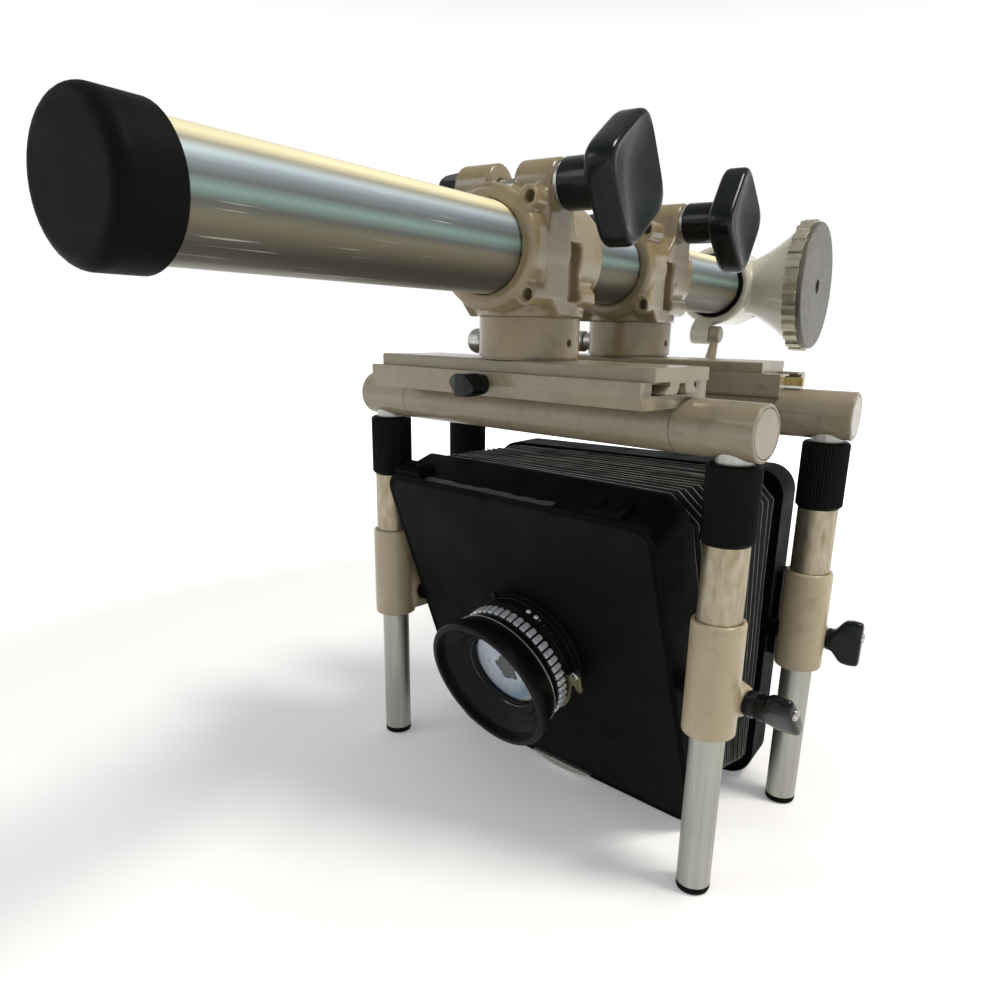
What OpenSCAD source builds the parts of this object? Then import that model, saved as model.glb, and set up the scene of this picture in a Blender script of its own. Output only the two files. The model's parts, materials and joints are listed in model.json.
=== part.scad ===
// A large-format monorail camera, stood on the ends of its four column tubes.
// +X points to the clamp knobs, +Y runs from the lens to the ground glass, +Z is up.

/* [Rail] */
// Outside radius of the rail tube
rail_r = 16.4; // [15.5:0.1:17]
// Wall of the rail tube
rail_wall = 2.5; // [1.5:0.1:4]
// Length of the rail tube between its caps
rail_len = 434; // [410:1:520]
// Length of rail in front of the front swing axis
rail_front = 170.7; // [150:0.1:200]
// Outside radius of the end caps
cap_r = 19; // [17.6:0.1:21]
// Length of an end cap outside the tube
cap_len = 17; // [8:0.5:24]
// Length of an end cap's plug inside the tube
cap_plug = 14; // [6:0.5:24]

/* [Standards] */
// Distance between the two swing axes
axis_gap = 97.2; // [95:0.1:140]
// Swing of the front standard in degrees
front_swing = -10.3; // [-12:0.1:12]
// Forward tilt of the lens frame in degrees
front_tilt = 19.6; // [0:0.1:20]
// Sideways shift of the front columns
front_shift = -7.1; // [-15:0.1:15]
// Sideways shift of the rear columns
rear_shift = 5.7; // [-15:0.1:15]
// Distance of the column plane inboard of the swing axis
outset = 11.2; // [10.5:0.1:12.5]
// Distance of the tilt axis behind the column plane
tilt_back = 11.5; // [11.4:0.1:12.5]
// Height of the tilt axis
tilt_z = 86.5; // [84:0.1:90]

/* [Clamps] */
// Outside radius of the clamp ring
ring_r = 22.4; // [21:0.1:24]
// Length of the front clamp ring ahead of its swing axis
front_ring_lead = 33.5; // [31:0.1:35]
// Length of the front clamp ring behind its swing axis
front_ring_tail = 22.2; // [20:0.1:24]
// Length of the rear clamp ring ahead of its swing axis
rear_ring_lead = 28.7; // [26:0.1:31]
// Length of the rear clamp ring behind its swing axis
rear_ring_tail = 26.6; // [24:0.1:28]
// Height of the rail axis over the swing seam
seam_drop = 24.2; // [23.5:0.1:27]
// Half the gap between the two clamp lugs
split_half = 5.5; // [3:0.1:7]
// Distance of a lug's outer face from the rail axis
lug_reach = 21.8; // [20:0.1:24]
// Height of the clamp stud over the rail axis
stud_rise = 22.4; // [22:0.1:25]
// Radius of the clamp stud
stud_r = 3.6; // [2.5:0.1:4]
// Front stud position along the rail from its swing axis
front_stud_y = -13.9; // [-13.9:0.1:-9]
// Rear stud position along the rail from its swing axis
rear_stud_y = 9.2; // [5:0.1:13]
// Radius of the round end of a clamp lug
lug_r = 9.3; // [8.4:0.1:9.3]
// Half the side of the square clamp wing
wing_half = 17.6; // [14:0.1:19]
// Thickness of the clamp wing
wing_t = 11.5; // [8:0.1:14]
// Length of the clamp knob's hub
hub_len = 17; // [12:0.1:22]
// Turn of the front clamp knob in degrees
front_knob_turn = -10; // [-45:1:45]
// Turn of the rear clamp knob in degrees
rear_knob_turn = 8; // [-45:1:45]

/* [Slides] */
// Radius of the swing turntable
turn_r = 20.7; // [20:0.1:22]
// Height of the swing turntable
turn_h = 16.4; // [14:0.1:20]
// Length of each slide plate
slide_len = 150; // [130:1:170]
// Width of the upper slide plate
upper_w = 36; // [34:0.1:42]
// Thickness of the upper slide plate
upper_t = 4.9; // [4:0.1:8]
// Width of the lower slide plate
lower_w = 44; // [42:0.1:48]
// Thickness of the lower slide plate
lower_t = 9.9; // [9.5:0.1:12]
// Depth of the dovetail tongue
tongue_d = 4.4; // [3.5:0.1:4.6]

/* [Columns] */
// Distance of each column's axis from the side of the rear frame
leg_gap = 18; // [16:0.1:20]
// Radius of the crossbar
bar_r = 10.65; // [10:0.05:11.5]
// Height of the crossbar axis
bar_z = 194.7; // [192:0.1:205]
// Length of crossbar beyond the column axis
bar_over = 11; // [9:0.1:16]
// Outside radius of a column tube
column_r = 7.2; // [6.8:0.1:7.6]
// Wall of a column tube
column_wall = 1.4; // [1:0.1:2]
// Height of the rubber foot below the tube
foot_h = 3.5; // [2:0.1:6]
// Outside radius of a lift tube
lift_r = 8.9; // [8.6:0.1:9.1]
// Outside radius of a sleeve
sleeve_r = 10.9; // [10.6:0.1:12]
// Height of a sleeve's lower end
sleeve_z = 74.3; // [70:0.1:76]
// Length of a sleeve
sleeve_len = 48.2; // [44:0.1:52]
// Outside radius of a locking collar
collar_r = 10.4; // [10:0.1:11.5]
// Height of a locking collar's lower end
collar_z = 152.5; // [148:0.1:154]
// Length of a locking collar
collar_len = 30.6; // [24:0.1:31]
// Number of flutes round a locking collar
flutes = 44; // [24:1:56]

/* [Frames] */
// Distance of the lens frame's side inboard of the rear frame's side
frame_step = 2; // [1:0.1:4]
// Extra height of the lens frame over the rear frame
front_taller = 0.5; // [0:0.1:2]
// Depth of the lens frame
front_d = 25; // [20:0.5:25]
// Distance of the tilt axis behind the lens board's face
pivot_depth = 6.4; // [5:0.1:9]
// Distance of the tilt axis above the middle of the lens board
pivot_up = 4.3; // [3:0.1:6]
// Thickness of the lens board
board_t = 3.6; // [2.5:0.1:5]
// Width of the rear frame
rear_w = 164; // [150:0.5:164]
// Height of the rear frame
rear_h = 165; // [150:0.5:165]
// Depth of the rear frame
rear_d = 22.5; // [18:0.5:26]
// Distance of the rear frame's front face ahead of its tilt axis
rear_lead = 4.6; // [2:0.1:5]
// Height of the rear frame's lower edge
rear_low = 1.6; // [1:0.1:4]
// Width of the bars round the bellows windows
frame_bar = 18; // [16:0.5:22]
// Depth of the spring back's base
back_d = 6; // [5:0.1:9]
// Depth of the ground glass frame
glass_frame_d = 9; // [7:0.1:12]

/* [Bellows] */
// Number of pleats
pleats = 15; // [8:1:18]
// Distance of the outer folds inboard of the lens frame's side
fold_edge = 1; // [0.5:0.1:4]
// Distance of the outer folds below the lens frame's top
fold_top_edge = 1.35; // [0.5:0.05:4]
// Depth of each pleat
fold_depth = 11; // [8:0.1:12]
// Length cut off each bellows corner
fold_cut = 12; // [8:0.5:24]

/* [Lens] */
// Radius of the front cell's rim
cell_r = 34.2; // [32.5:0.1:36]
// Distance of the rim in front of the lens board
cell_front = 36.5; // [35:0.1:39]
// Radius of the front cell's rear edge
cell_back_r = 31.2; // [30:0.1:33]
// Radius of the front glass
glass_r = 19.5; // [17:0.1:20]
// Radius of the shutter drum
shutter_r = 29.6; // [28.5:0.1:31]
// Radius of the turned core that carries the rings
core_r = 26; // [24:0.1:27]
// Number of grip ridges round the speed ring
ridges = 48; // [30:1:72]

/* [Tripod head] */
// Distance of the tripod clamp behind the rear swing axis
tripod_back = 137; // [120:0.1:137]
// Half the length of the tripod clamp along the rail
tripod_half = 20; // [17:0.1:22]
// Outside radius of the tripod clamp
tripod_r = 23; // [22:0.1:25]
// Radius of the tripod plate
plate_r = 36; // [30:0.1:38]
// Distance of the tripod plate's face from the rail axis
plate_reach = 58.2; // [52:0.1:66]
// Radius of the tripod screw hole
socket_r = 4.2; // [3:0.1:5]
// Depth of the tripod screw hole
socket_len = 12; // [8:0.1:16]

/* [Hidden] */
$fn = 64;

// Running clearance between a shaft and its bore
run_fit = 0.05;
// Gap between soft or turning faces
face_gap = 0.3;
// Gap between parts seated in one another
seat_gap = 0.02;
// Overlap that keeps joined shapes solid
bite = 1;

rail_x = 5;
front_axis_y = -12.3;
rear_axis_y = front_axis_y + axis_gap;
saddle = 6.8;
lower_z = bar_z + saddle;
upper_z = lower_z + lower_t;
turn_z = upper_z + upper_t;
seam_z = turn_z + turn_h;
rail_z = seam_z + seam_drop;
rail_y0 = front_axis_y - rail_front;
rail_y1 = rail_y0 + rail_len;
spigot_r = 8;
spigot_len = 10;
trunnion_r = 4.5;
trunnion_seat = 3.2;
leg_half = rear_w / 2 + leg_gap;
front_w = rear_w - 2 * frame_step;
window = rear_w - 2 * frame_bar;
front_h = rear_h + front_taller;
fold_out = front_w / 2 - fold_edge;
fold_rise = front_h / 2 - fold_top_edge - fold_out;
fold_in = fold_out - fold_depth;
boss_in = leg_half - 11.5;
boss_out = leg_half + 9.6;
knob_screw_r = 2.2;
sleeve_top = sleeve_z + sleeve_len;
tripod_y = rear_axis_y + tripod_back;
plate_t = 3;
ring_t = 8;
board_w = front_w - 6;
board_h = front_h - 7;
board_corner = 7;
lens_up = 1.2;
glass_w = rear_w - 52;
glass_h = rear_h - 27;
// The model stands with the middle of its outline over the origin
middle_x = 11.855;
middle_y = 34.0;

function arc(x, y, r, a0, a1, n) = [for (i = [0:n]) let (a = a0 + (a1 - a0) * i / n) [x + r * cos(a), y + r * sin(a)]];

// Turned shape whose profile runs along the X axis as [radius, x]
module turned_x(profile) rotate([90, 0, 90]) rotate_extrude() polygon(profile);
// Turned shape whose profile runs along the Y axis as [radius, y]
module turned_y(profile) rotate([-90, 0, 0]) rotate_extrude() polygon(profile);
module rod_x(r, x0, x1) translate([x0, 0, 0]) rotate([0, 90, 0]) cylinder(r = r, h = x1 - x0);
module rod_y(r, y0, y1) translate([0, y0, 0]) rotate([-90, 0, 0]) cylinder(r = r, h = y1 - y0);
module rod_z(r, z0, z1) translate([0, 0, z0]) cylinder(r = r, h = z1 - z0);
// Prism drawn in the XZ plane and carried from y0 to y1
module slab_y(y0, y1) translate([0, y1, 0]) rotate([90, 0, 0]) linear_extrude(y1 - y0) children();
// Prism drawn in the YZ plane and carried from x0 to x1
module slab_x(x0, x1) translate([x0, 0, 0]) rotate([90, 0, 90]) linear_extrude(x1 - x0) children();
module rounded(w, h, r) {
    square([w - 2 * r, h], center = true);
    square([w, h - 2 * r], center = true);
    for (x = [-1, 1], y = [-1, 1]) translate([x * (w / 2 - r), y * (h / 2 - r)]) circle(r);
}
function fluted(r, depth, n) = [for (i = [0:2 * n - 1]) let (a = 180 * (i + 0.5) / n, q = i % 2 == 0 ? r : r - depth) [q * cos(a), q * sin(a)]];

module placed() translate([-middle_x, -middle_y, 0]) children();
module on_rail(y) placed() translate([rail_x, y, rail_z]) children();
// Frame of a standard, on its swing axis at foot level, with +Y inboard
module front_standard() placed() translate([rail_x, front_axis_y, 0]) rotate([0, 0, front_swing]) children();
module rear_standard() placed() translate([rail_x, rear_axis_y, 0]) mirror([0, 1, 0]) children();
module front_legs() front_standard() translate([front_shift, outset, 0]) children();
module rear_legs() rear_standard() translate([rear_shift, outset, 0]) children();
// Frame of the lens board: on the tilt axis, tilted with the frame
module front_tilted() front_legs() translate([0, tilt_back, tilt_z]) rotate([front_tilt, 0, 0]) children();
// Frame of the back: on the rear tilt axis, with +Y to the rear
module rear_upright() placed() translate([rail_x + rear_shift, rear_axis_y - outset + tilt_back, 0]) children();
// Frame of the lens: on its axis at the board's face, with +Z forward
module on_lens() front_tilted() translate([0, -pivot_depth, lens_up - pivot_up]) rotate([90, 0, 0]) children();

module rail_tube() color("silver") placed() translate([rail_x, 0, rail_z])
    difference() {
        rod_y(rail_r, rail_y0, rail_y1);
        rod_y(rail_r - rail_wall, rail_y0 - bite, rail_y1 + bite);
    }

module rail_cap() {
    soft = 4;
    turned_y(concat([[0, 0]], arc(cap_r - soft, soft, soft, -90, 0, 6),
        [[cap_r, cap_len - 1], [cap_r - 1, cap_len], [rail_r - rail_wall - seat_gap, cap_len],
         [rail_r - rail_wall - seat_gap, cap_len + cap_plug], [0, cap_len + cap_plug]]));
}
module rail_caps() color([0.1, 0.1, 0.1]) placed() {
    translate([rail_x, rail_y0 - cap_len, rail_z]) rail_cap();
    translate([rail_x, rail_y1 + cap_len, rail_z]) mirror([0, 1, 0]) rail_cap();
}

// Clamp casting, on the rail axis over its swing axis
module clamp_casting(stud_y, lead, tail, cheek_back) {
    soft = 2.5;
    screw_x = 17.6;
    screw_z = 16.4;
    cheek_x = lug_reach - 5;
    cheek_y = cheek_back - 13.6;
    difference() {
        union() {
            turned_y([[0, -lead], [ring_r - soft, -lead], [ring_r - 0.7, -lead + 0.7],
                [ring_r, -lead + soft], [ring_r, tail - soft], [ring_r - soft, tail], [0, tail]]);
            hull() {
                rod_z(turn_r + 1.2, -seam_drop, -seam_drop + 2.6);
                translate([-15, -16, -12]) cube([30, 32, 2]);
            }
            for (side = [-1, 1]) hull() {
                translate([side * cheek_x, cheek_y, -12]) cube([10, 27.2, 2], center = true);
                translate([side * cheek_x, stud_y, stud_rise - 5]) cube([10, 2 * lug_r - 4, 2], center = true);
            }
            for (side = [-1, 1]) hull() {
                translate([side * cheek_x, cheek_y, -12]) cube([10, 27.2, 2], center = true);
                translate([side * (turn_r - 4.4), cheek_back - 8, -seam_drop + 1.3]) cube([10, 16, 2.6], center = true);
            }
            for (side = [-1, 1]) hull() {
                translate([side * (split_half + lug_reach) / 2, stud_y, 0]) {
                    translate([0, 0, stud_rise]) rod_x(lug_r, (split_half - lug_reach) / 2, (lug_reach - split_half) / 2, $fn = 32);
                    translate([0, 0, 8]) cube([lug_reach - split_half, 2 * lug_r, 4], center = true);
                }
            }
            for (z = [-screw_z, screw_z]) translate([screw_x, 0, z]) rod_y(4.2, -lead + 0.8, cheek_y);
            translate([screw_x + 0.6, 0, -screw_z]) rod_y(4.6, cheek_back - 3, tail - 8);
        }
        rod_y(rail_r + run_fit, -lead - 2, tail + 2);
        translate([-split_half, stud_y - lug_r - 0.2, 6]) cube([2 * split_half, 2 * lug_r + 0.4, 40]);
        translate([0, stud_y, stud_rise]) rod_x(stud_r + run_fit, -40, 40);
        translate([lug_reach - 5, cheek_back - 9.8, -18]) cube([12, 8.6, 21.5]);
        for (z = [-screw_z, screw_z]) translate([screw_x + 1, 0, z]) rod_y(2.1, -lead - 2, -lead + 7);
        translate([0, 0, -seam_drop - 20]) rod_z(45, 0, 20);
    }
    rod_z(spigot_r, -seam_drop - spigot_len, -seam_drop + bite);
}
module clamp_bolt_at(stud_y) translate([0, stud_y, stud_rise]) {
    rod_x(stud_r, -lug_reach - 9.6, lug_reach + 12);
    difference() {
        rod_x(lug_r - 1, lug_reach, lug_reach + 1.5);
        rod_x(stud_r + run_fit, lug_reach - bite, lug_reach + 3);
    }
}
module clamp_nut_at(stud_y) translate([-lug_reach, stud_y, stud_rise])
    difference() {
        rotate([0, -90, 0]) intersection() {
            cylinder(r = 7.4, h = 9.5, $fn = 6);
            cylinder(r1 = 8.4, r2 = 6.6, h = 9.5);
        }
        rod_x(stud_r + seat_gap, -20, 5);
    }
// Winged clamp knob: round hub and a square wing with a dished face
module clamp_knob_at(stud_y, turn) translate([0, stud_y, stud_rise]) {
    hub_x = lug_reach + 1.5 + face_gap;
    wing_x = hub_x + hub_len;
    corner = 6;
    dish = 40;
    difference() {
        union() {
            turned_x([[0, hub_x], [8.6, hub_x], [9.2, hub_x + 0.6], [9.2, wing_x + 1], [0, wing_x + 1]]);
            rotate([turn, 0, 0]) hull() for (a = [0:90:270]) rotate([a, 0, 0]) translate([0, 0, sqrt(2) * (wing_half - corner)])
                turned_x([[0, wing_x], [corner - 2, wing_x], [corner - 0.4, wing_x + 1.2], [corner, wing_x + 3],
                    [corner, wing_x + wing_t - 2], [corner - 0.6, wing_x + wing_t - 0.6], [corner - 2, wing_x + wing_t], [0, wing_x + wing_t]]);
        }
        translate([wing_x + wing_t + dish - 4, 0, 0]) sphere(r = dish);
        rod_x(stud_r + run_fit, hub_x - bite, lug_reach + 13);
    }
}
module front_clamp_body() color([0.76, 0.71, 0.58]) on_rail(front_axis_y)
    clamp_casting(front_stud_y, front_ring_lead, front_ring_tail, 3);
module rear_clamp_body() color([0.76, 0.71, 0.58]) on_rail(rear_axis_y)
    clamp_casting(rear_stud_y, rear_ring_lead, rear_ring_tail, 0.2);
module front_clamp_bolt() color("silver") on_rail(front_axis_y) clamp_bolt_at(front_stud_y);
module rear_clamp_bolt() color("silver") on_rail(rear_axis_y) clamp_bolt_at(rear_stud_y);
module front_clamp_nut() color([0.1, 0.1, 0.1]) on_rail(front_axis_y) clamp_nut_at(front_stud_y);
module rear_clamp_nut() color([0.1, 0.1, 0.1]) on_rail(rear_axis_y) clamp_nut_at(rear_stud_y);
module front_clamp_knob() color([0.1, 0.1, 0.1]) on_rail(front_axis_y) clamp_knob_at(front_stud_y, front_knob_turn);
module rear_clamp_knob() color([0.1, 0.1, 0.1]) on_rail(rear_axis_y) clamp_knob_at(rear_stud_y, rear_knob_turn);

// Turntable under the clamp, with the bore for the casting's spigot
lock_z = 6.6;
lock_r = 3;
module turntable_body() translate([0, 0, turn_z]) difference() {
    union() {
        rod_z(turn_r - 1, 0, 2);
        rod_z(turn_r, 0.9, turn_h);
    }
    rod_z(spigot_r + run_fit, turn_h - spigot_len - 0.5, turn_h + bite);
    translate([0, 0, lock_z]) rod_x(lock_r + run_fit, -turn_r - bite, -spigot_r - 6);
    rotate([0, 0, 3]) translate([0, 0, 6.7]) rod_x(1.5, turn_r - 5, turn_r + bite);
}
module swing_knob_body() translate([0, 0, turn_z + lock_z]) mirror([1, 0, 0])
    turned_x([[0, spigot_r + 6.5], [lock_r, spigot_r + 6.5], [lock_r, turn_r + face_gap], [4.2, turn_r + face_gap],
        [4.2, turn_r + 4], [4.9, turn_r + 4.3], [5.3, turn_r + 5], [5.3, turn_r + 10], [4.9, turn_r + 11.2], [3.8, turn_r + 12], [0, turn_r + 12.4]]);
module front_turntable() color([0.76, 0.71, 0.58]) front_standard() turntable_body();
module rear_turntable() color([0.76, 0.71, 0.58]) rear_standard() turntable_body();
module front_swing_knob() color("silver") front_standard() swing_knob_body();
module rear_swing_knob() color("silver") rear_standard() swing_knob_body();

// Upper slide plate with its flared, slotted dovetail tongue
neck_half = 8;
foot_half = 11;
module upper_plate() slab_x(-slide_len / 2, slide_len / 2) {
    edge = 0.6;
    top = upper_z + upper_t;
    half = upper_w / 2;
    low = upper_z - tongue_d;
    right = [[2, upper_z - 2], [3.4, low], [foot_half, low], [foot_half, low + 0.6], [neck_half, upper_z - 1.6],
        [neck_half, upper_z], [half, upper_z], [half, top - edge], [half - edge, top]];
    polygon(concat([[0, upper_z - 0.6], [2, upper_z - 0.6]], right, [for (i = [8:-1:0]) [-right[i][0], right[i][1]]], [[-2, upper_z - 0.6]]));
}
module front_slide_upper() color([0.74, 0.69, 0.57]) front_standard() upper_plate();
module rear_slide_upper() color([0.74, 0.69, 0.57]) rear_standard() upper_plate();

// Lower slide plate: dovetail channel above, saddle for the crossbar below
channel_half = 14.8;
slide_x = 4;
module lower_plate() {
    front = -lower_w / 2 - outset;
    back = lower_w / 2 - outset;
    difference() {
        slab_x(slide_x - slide_len / 2, slide_x + slide_len / 2)
            polygon([[front + 3, lower_z], [back - 1, lower_z], [back, lower_z + 1], [back, upper_z], [front, upper_z], [front, lower_z + 4.6]]);
        slab_x(slide_x - slide_len / 2 - bite, slide_x + slide_len / 2 + bite) translate([-outset, 0]) {
            polygon([[-neck_half - run_fit, upper_z + 1], [neck_half + run_fit, upper_z + 1],
                [neck_half + run_fit, upper_z - 2.5], [-neck_half - run_fit, upper_z - 2.5]]);
            polygon([[-channel_half, upper_z - tongue_d - 0.4], [channel_half, upper_z - tongue_d - 0.4],
                [channel_half, upper_z - 1.6 + 0.8], [-channel_half, upper_z - 1.6 + 0.8]]);
        }
        translate([0, 0, bar_z]) rod_x(bar_r + seat_gap, -slide_len, slide_len);
        translate([shift_x, 0, lower_z + 4.9]) rod_y(lock_r + run_fit, front - bite, front + 6);
    }
}
shift_x = 2;
module shift_knob_body() translate([shift_x, -lower_w / 2 - outset, lower_z + 4.9]) {
    turned_y([[0, -6.5], [3.6, -6.5], [4.1, -6], [4.1, -face_gap], [lock_r, -face_gap], [lock_r, 5.5], [0, 5.5]]);
    hull() {
        translate([-4.6, -12, 1]) rod_y(2.4, 0, 8, $fn = 24);
        translate([4.6, -12, -1]) rod_y(2.4, 0, 8, $fn = 24);
        rod_y(4.6, -6.5, -3.5, $fn = 32);
        translate([-2.5, -13, -4.4]) cube([5, 7, 8.8]);
    }
}
module front_slide_lower() color([0.72, 0.67, 0.55]) front_legs() lower_plate();
module rear_slide_lower() color([0.72, 0.67, 0.55]) rear_legs() lower_plate();
module front_shift_knob() color([0.1, 0.1, 0.1]) front_legs() shift_knob_body();
module rear_shift_knob() color([0.1, 0.1, 0.1]) rear_legs() shift_knob_body();
module rear_slide_gib() color([0.72, 0.58, 0.3]) rear_legs()
    translate([slide_x - 30, -outset + foot_half + 0.1, upper_z - tongue_d - 0.4]) cube([slide_len / 2 + 38, channel_half - foot_half - 0.2, 3.5]);

// Crossbar with its two end pieces and the sockets for the columns
module crossbar_body() translate([0, 0, bar_z]) difference() {
    end = leg_half + bar_over;
    union() {
        turned_x([[0, -end], [bar_r - 0.6, -end], [bar_r, -end + 0.6], [bar_r, end - 0.6], [bar_r - 0.6, end], [0, end]]);
    }
    for (side = [-1, 1]) {
        translate([side * leg_half, 0, 0]) rod_z(column_r + seat_gap, -bar_r - 5, 3);
        translate([side * (leg_half - 23), 0, 0]) turned_x([[bar_r - 0.3, -0.2], [bar_r + 1, -0.2], [bar_r + 1, 0.2], [bar_r - 0.3, 0.2]]);
        mirror([side < 0 ? 1 : 0, 0, 0]) translate([end, 0, 0]) turned_x([[bar_r - 1.7, -0.4], [bar_r - 1.3, -0.4], [bar_r - 1.3, 1], [bar_r - 1.7, 1]]);
    }
}
module columns_body() for (side = [-1, 1]) translate([side * leg_half, 0, 0]) difference() {
    rod_z(column_r, foot_h, bar_z + 3 - seat_gap);
    rod_z(column_r - column_wall, foot_h - bite, bar_z - 10);
}
module feet_body() for (side = [-1, 1]) translate([side * leg_half, 0, 0])
    rotate_extrude() polygon([[0, 0], [column_r - 1.2, 0], [column_r - 0.3, 0.5], [column_r, 1.4], [column_r, foot_h],
        [column_r - column_wall - seat_gap, foot_h], [column_r - column_wall - seat_gap, foot_h + 10], [0, foot_h + 10]]);
module front_crossbar() color([0.76, 0.71, 0.58]) front_legs() crossbar_body();
module rear_crossbar() color([0.76, 0.71, 0.58]) rear_legs() crossbar_body();
module front_columns() color("silver") front_legs() columns_body();
module rear_columns() color("silver") rear_legs() columns_body();
module front_feet() color([0.12, 0.12, 0.12]) front_legs() feet_body();
module rear_feet() color([0.12, 0.12, 0.12]) rear_legs() feet_body();

// Fluted locking collar, turning on the top of its lift tube
module collar_body(side) translate([side * leg_half, 0, collar_z]) difference() {
    intersection() {
        linear_extrude(collar_len) polygon(fluted(collar_r, 0.4, flutes));
        rotate_extrude() polygon([[0, 0], [collar_r - 1.6, 0], [collar_r + 0.2, 2], [collar_r + 0.2, collar_len - 1.2], [collar_r - 1, collar_len], [0, collar_len]]);
    }
    rod_z(lift_r + run_fit, -bite, collar_len - 2);
    rod_z(column_r + 0.4, 0, collar_len + bite);
}
module lift_tubes_body() for (side = [-1, 1]) translate([side * leg_half, 0, 0]) difference() {
    rod_z(lift_r, sleeve_z, collar_z + collar_len - 2 - face_gap);
    rod_z(column_r + run_fit, sleeve_z - bite, collar_z + collar_len);
}
// Sleeve with the bracket that carries the frame's trunnion behind the column
module sleeves_body(tilt_y) for (side = [-1, 1]) mirror([side < 0 ? 1 : 0, 0, 0]) difference() {
    union() {
        translate([leg_half, 0, 0]) rotate_extrude() polygon([[0, sleeve_z], [sleeve_r - 0.6, sleeve_z], [sleeve_r, sleeve_z + 0.6],
            [sleeve_r, sleeve_top - 0.6], [sleeve_r - 0.6, sleeve_top], [0, sleeve_top]]);
        translate([0, tilt_y, tilt_z]) turned_x([[0, boss_in], [7.2, boss_in], [7.8, boss_in + 0.8],
            [7.8, side > 0 ? boss_out - 4.5 : leg_half], [side > 0 ? 6.2 : 7.8, side > 0 ? boss_out : leg_half], [0, side > 0 ? boss_out : leg_half]]);
        hull() {
            translate([boss_in, tilt_y * 0.9 - 4, tilt_z - 9]) cube([6, 8, 14]);
            translate([leg_half - 7.5, -4, sleeve_top - 8]) cube([4, 8, 2]);
            translate([leg_half - 7.5, -4, sleeve_z + 2]) cube([4, 8, 2]);
        }
    }
    translate([leg_half, 0, 0]) rod_z(lift_r + seat_gap, sleeve_z - bite, sleeve_top + bite);
    translate([0, tilt_y, tilt_z]) rod_x(trunnion_r + run_fit, boss_in - bite, boss_in + trunnion_seat);
    if (side > 0) translate([0, tilt_y, tilt_z]) rod_x(knob_screw_r + run_fit, boss_in, boss_out + bite);
}
// Winged tilt knob on the right-hand sleeve
module tilt_knob_body(tilt_y, wing_x, turn) translate([0, tilt_y, tilt_z]) {
    x0 = boss_out + face_gap;
    turned_x([[0, boss_in - 2], [knob_screw_r, boss_in - 2], [knob_screw_r, x0], [5, x0], [5.5, x0 + 0.6], [5.5, wing_x + 1], [0, wing_x + 1]]);
    rotate([turn, 0, 0]) hull() {
        translate([wing_x + 1, 0, 0]) cube([2, 8.4, 10.6], center = true);
        for (z = [-1, 1]) translate([wing_x + 4, 0, z * 8]) rod_x(2.6, -0.8, 6, $fn = 24);
    }
}
module front_left_collar() color([0.12, 0.12, 0.12]) front_legs() collar_body(-1);
module front_right_collar() color([0.12, 0.12, 0.12]) front_legs() collar_body(1);
module rear_left_collar() color([0.12, 0.12, 0.12]) rear_legs() collar_body(-1);
module rear_right_collar() color([0.12, 0.12, 0.12]) rear_legs() collar_body(1);
module front_lift_tubes() color("silver") front_legs() lift_tubes_body();
module rear_lift_tubes() color("silver") rear_legs() lift_tubes_body();
module front_sleeves() color([0.76, 0.71, 0.58]) front_legs() sleeves_body(tilt_back);
module rear_sleeves() color([0.76, 0.71, 0.58]) rear_legs() sleeves_body(-tilt_back);
module front_tilt_knob() color([0.1, 0.1, 0.1]) front_legs() tilt_knob_body(tilt_back, boss_out + 9.4, 40);
module rear_tilt_knob() color([0.1, 0.1, 0.1]) rear_legs() tilt_knob_body(-tilt_back, boss_out + 4.4, 0);

// Trunnions that stand out of a frame's sides, drilled for the knob's screw
module trunnions(half) for (side = [-1, 1]) mirror([side < 0 ? 1 : 0, 0, 0]) difference() {
    rod_x(trunnion_r, half - 3, boss_in + trunnion_seat - face_gap);
    rod_x(knob_screw_r + run_fit, half - 4, boss_in + trunnion_seat + bite);
}

// Lens frame: a deep rectangular frame, rebated in front for the board
front_low = -pivot_up - front_h / 2;
module front_frame() color([0.1, 0.1, 0.1]) front_tilted() {
    difference() {
        slab_y(-pivot_depth, front_d - pivot_depth) translate([0, -pivot_up]) rounded(front_w, front_h, 11);
        slab_y(-pivot_depth - bite, -pivot_depth + board_t + 0.02) translate([0, -pivot_up]) rounded(board_w + 0.2, board_h + 0.2, board_corner + 0.1);
        slab_y(-pivot_depth, front_d) translate([0, -pivot_up]) rounded(window, window, 12);
        slab_y(front_d - pivot_depth - 3, front_d) translate([0, -pivot_up]) rounded(window + 8, window + 8, 14);
        rod_x(knob_screw_r + run_fit, -front_w, front_w);
    }
    trunnions(front_w / 2);
}
module lens_board() color([0.11, 0.11, 0.11]) front_tilted() translate([0, -pivot_depth, -pivot_up]) difference() {
    union() {
        slab_y(0, board_t) rounded(board_w, board_h, board_corner);
        slab_y(board_t - bite, board_t + 4) difference() {
            rounded(window - 1, window - 1, 11);
            rounded(window - 9, window - 9, 8);
        }
    }
    translate([0, 0, lens_up]) rod_y(thread_r + seat_gap, -bite, board_t + bite);
}
thread_r = 20.8;

module board_latches() color([0.13, 0.13, 0.13]) front_tilted() for (x = [18 - front_w / 2, front_w / 2 - 24]) translate([x, -pivot_depth, -pivot_up + front_h / 2])
    difference() {
        union() {
            slab_y(0.5, 11) polygon([[-9, 0], [9, 0], [9, 2], [8, 2.8], [-8, 2.8], [-9, 2]]);
            for (s = [-4.5, 4.5]) translate([s, 6.5, 2.8]) rod_z(2.1, -0.5, 0.9);
        }
        for (s = [-4.5, 4.5]) translate([s - 2.5, 6.2, 3.3]) cube([5, 0.6, 2]);
    }
module board_tab() color([0.7, 0.68, 0.62]) front_tilted() translate([-1.2, -pivot_depth, front_low])
    slab_y(-1.8, 0) intersection() {
        translate([0, 40.9]) circle(42.4);
        translate([-30, -1.5]) square([60, 5]);
    }

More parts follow.
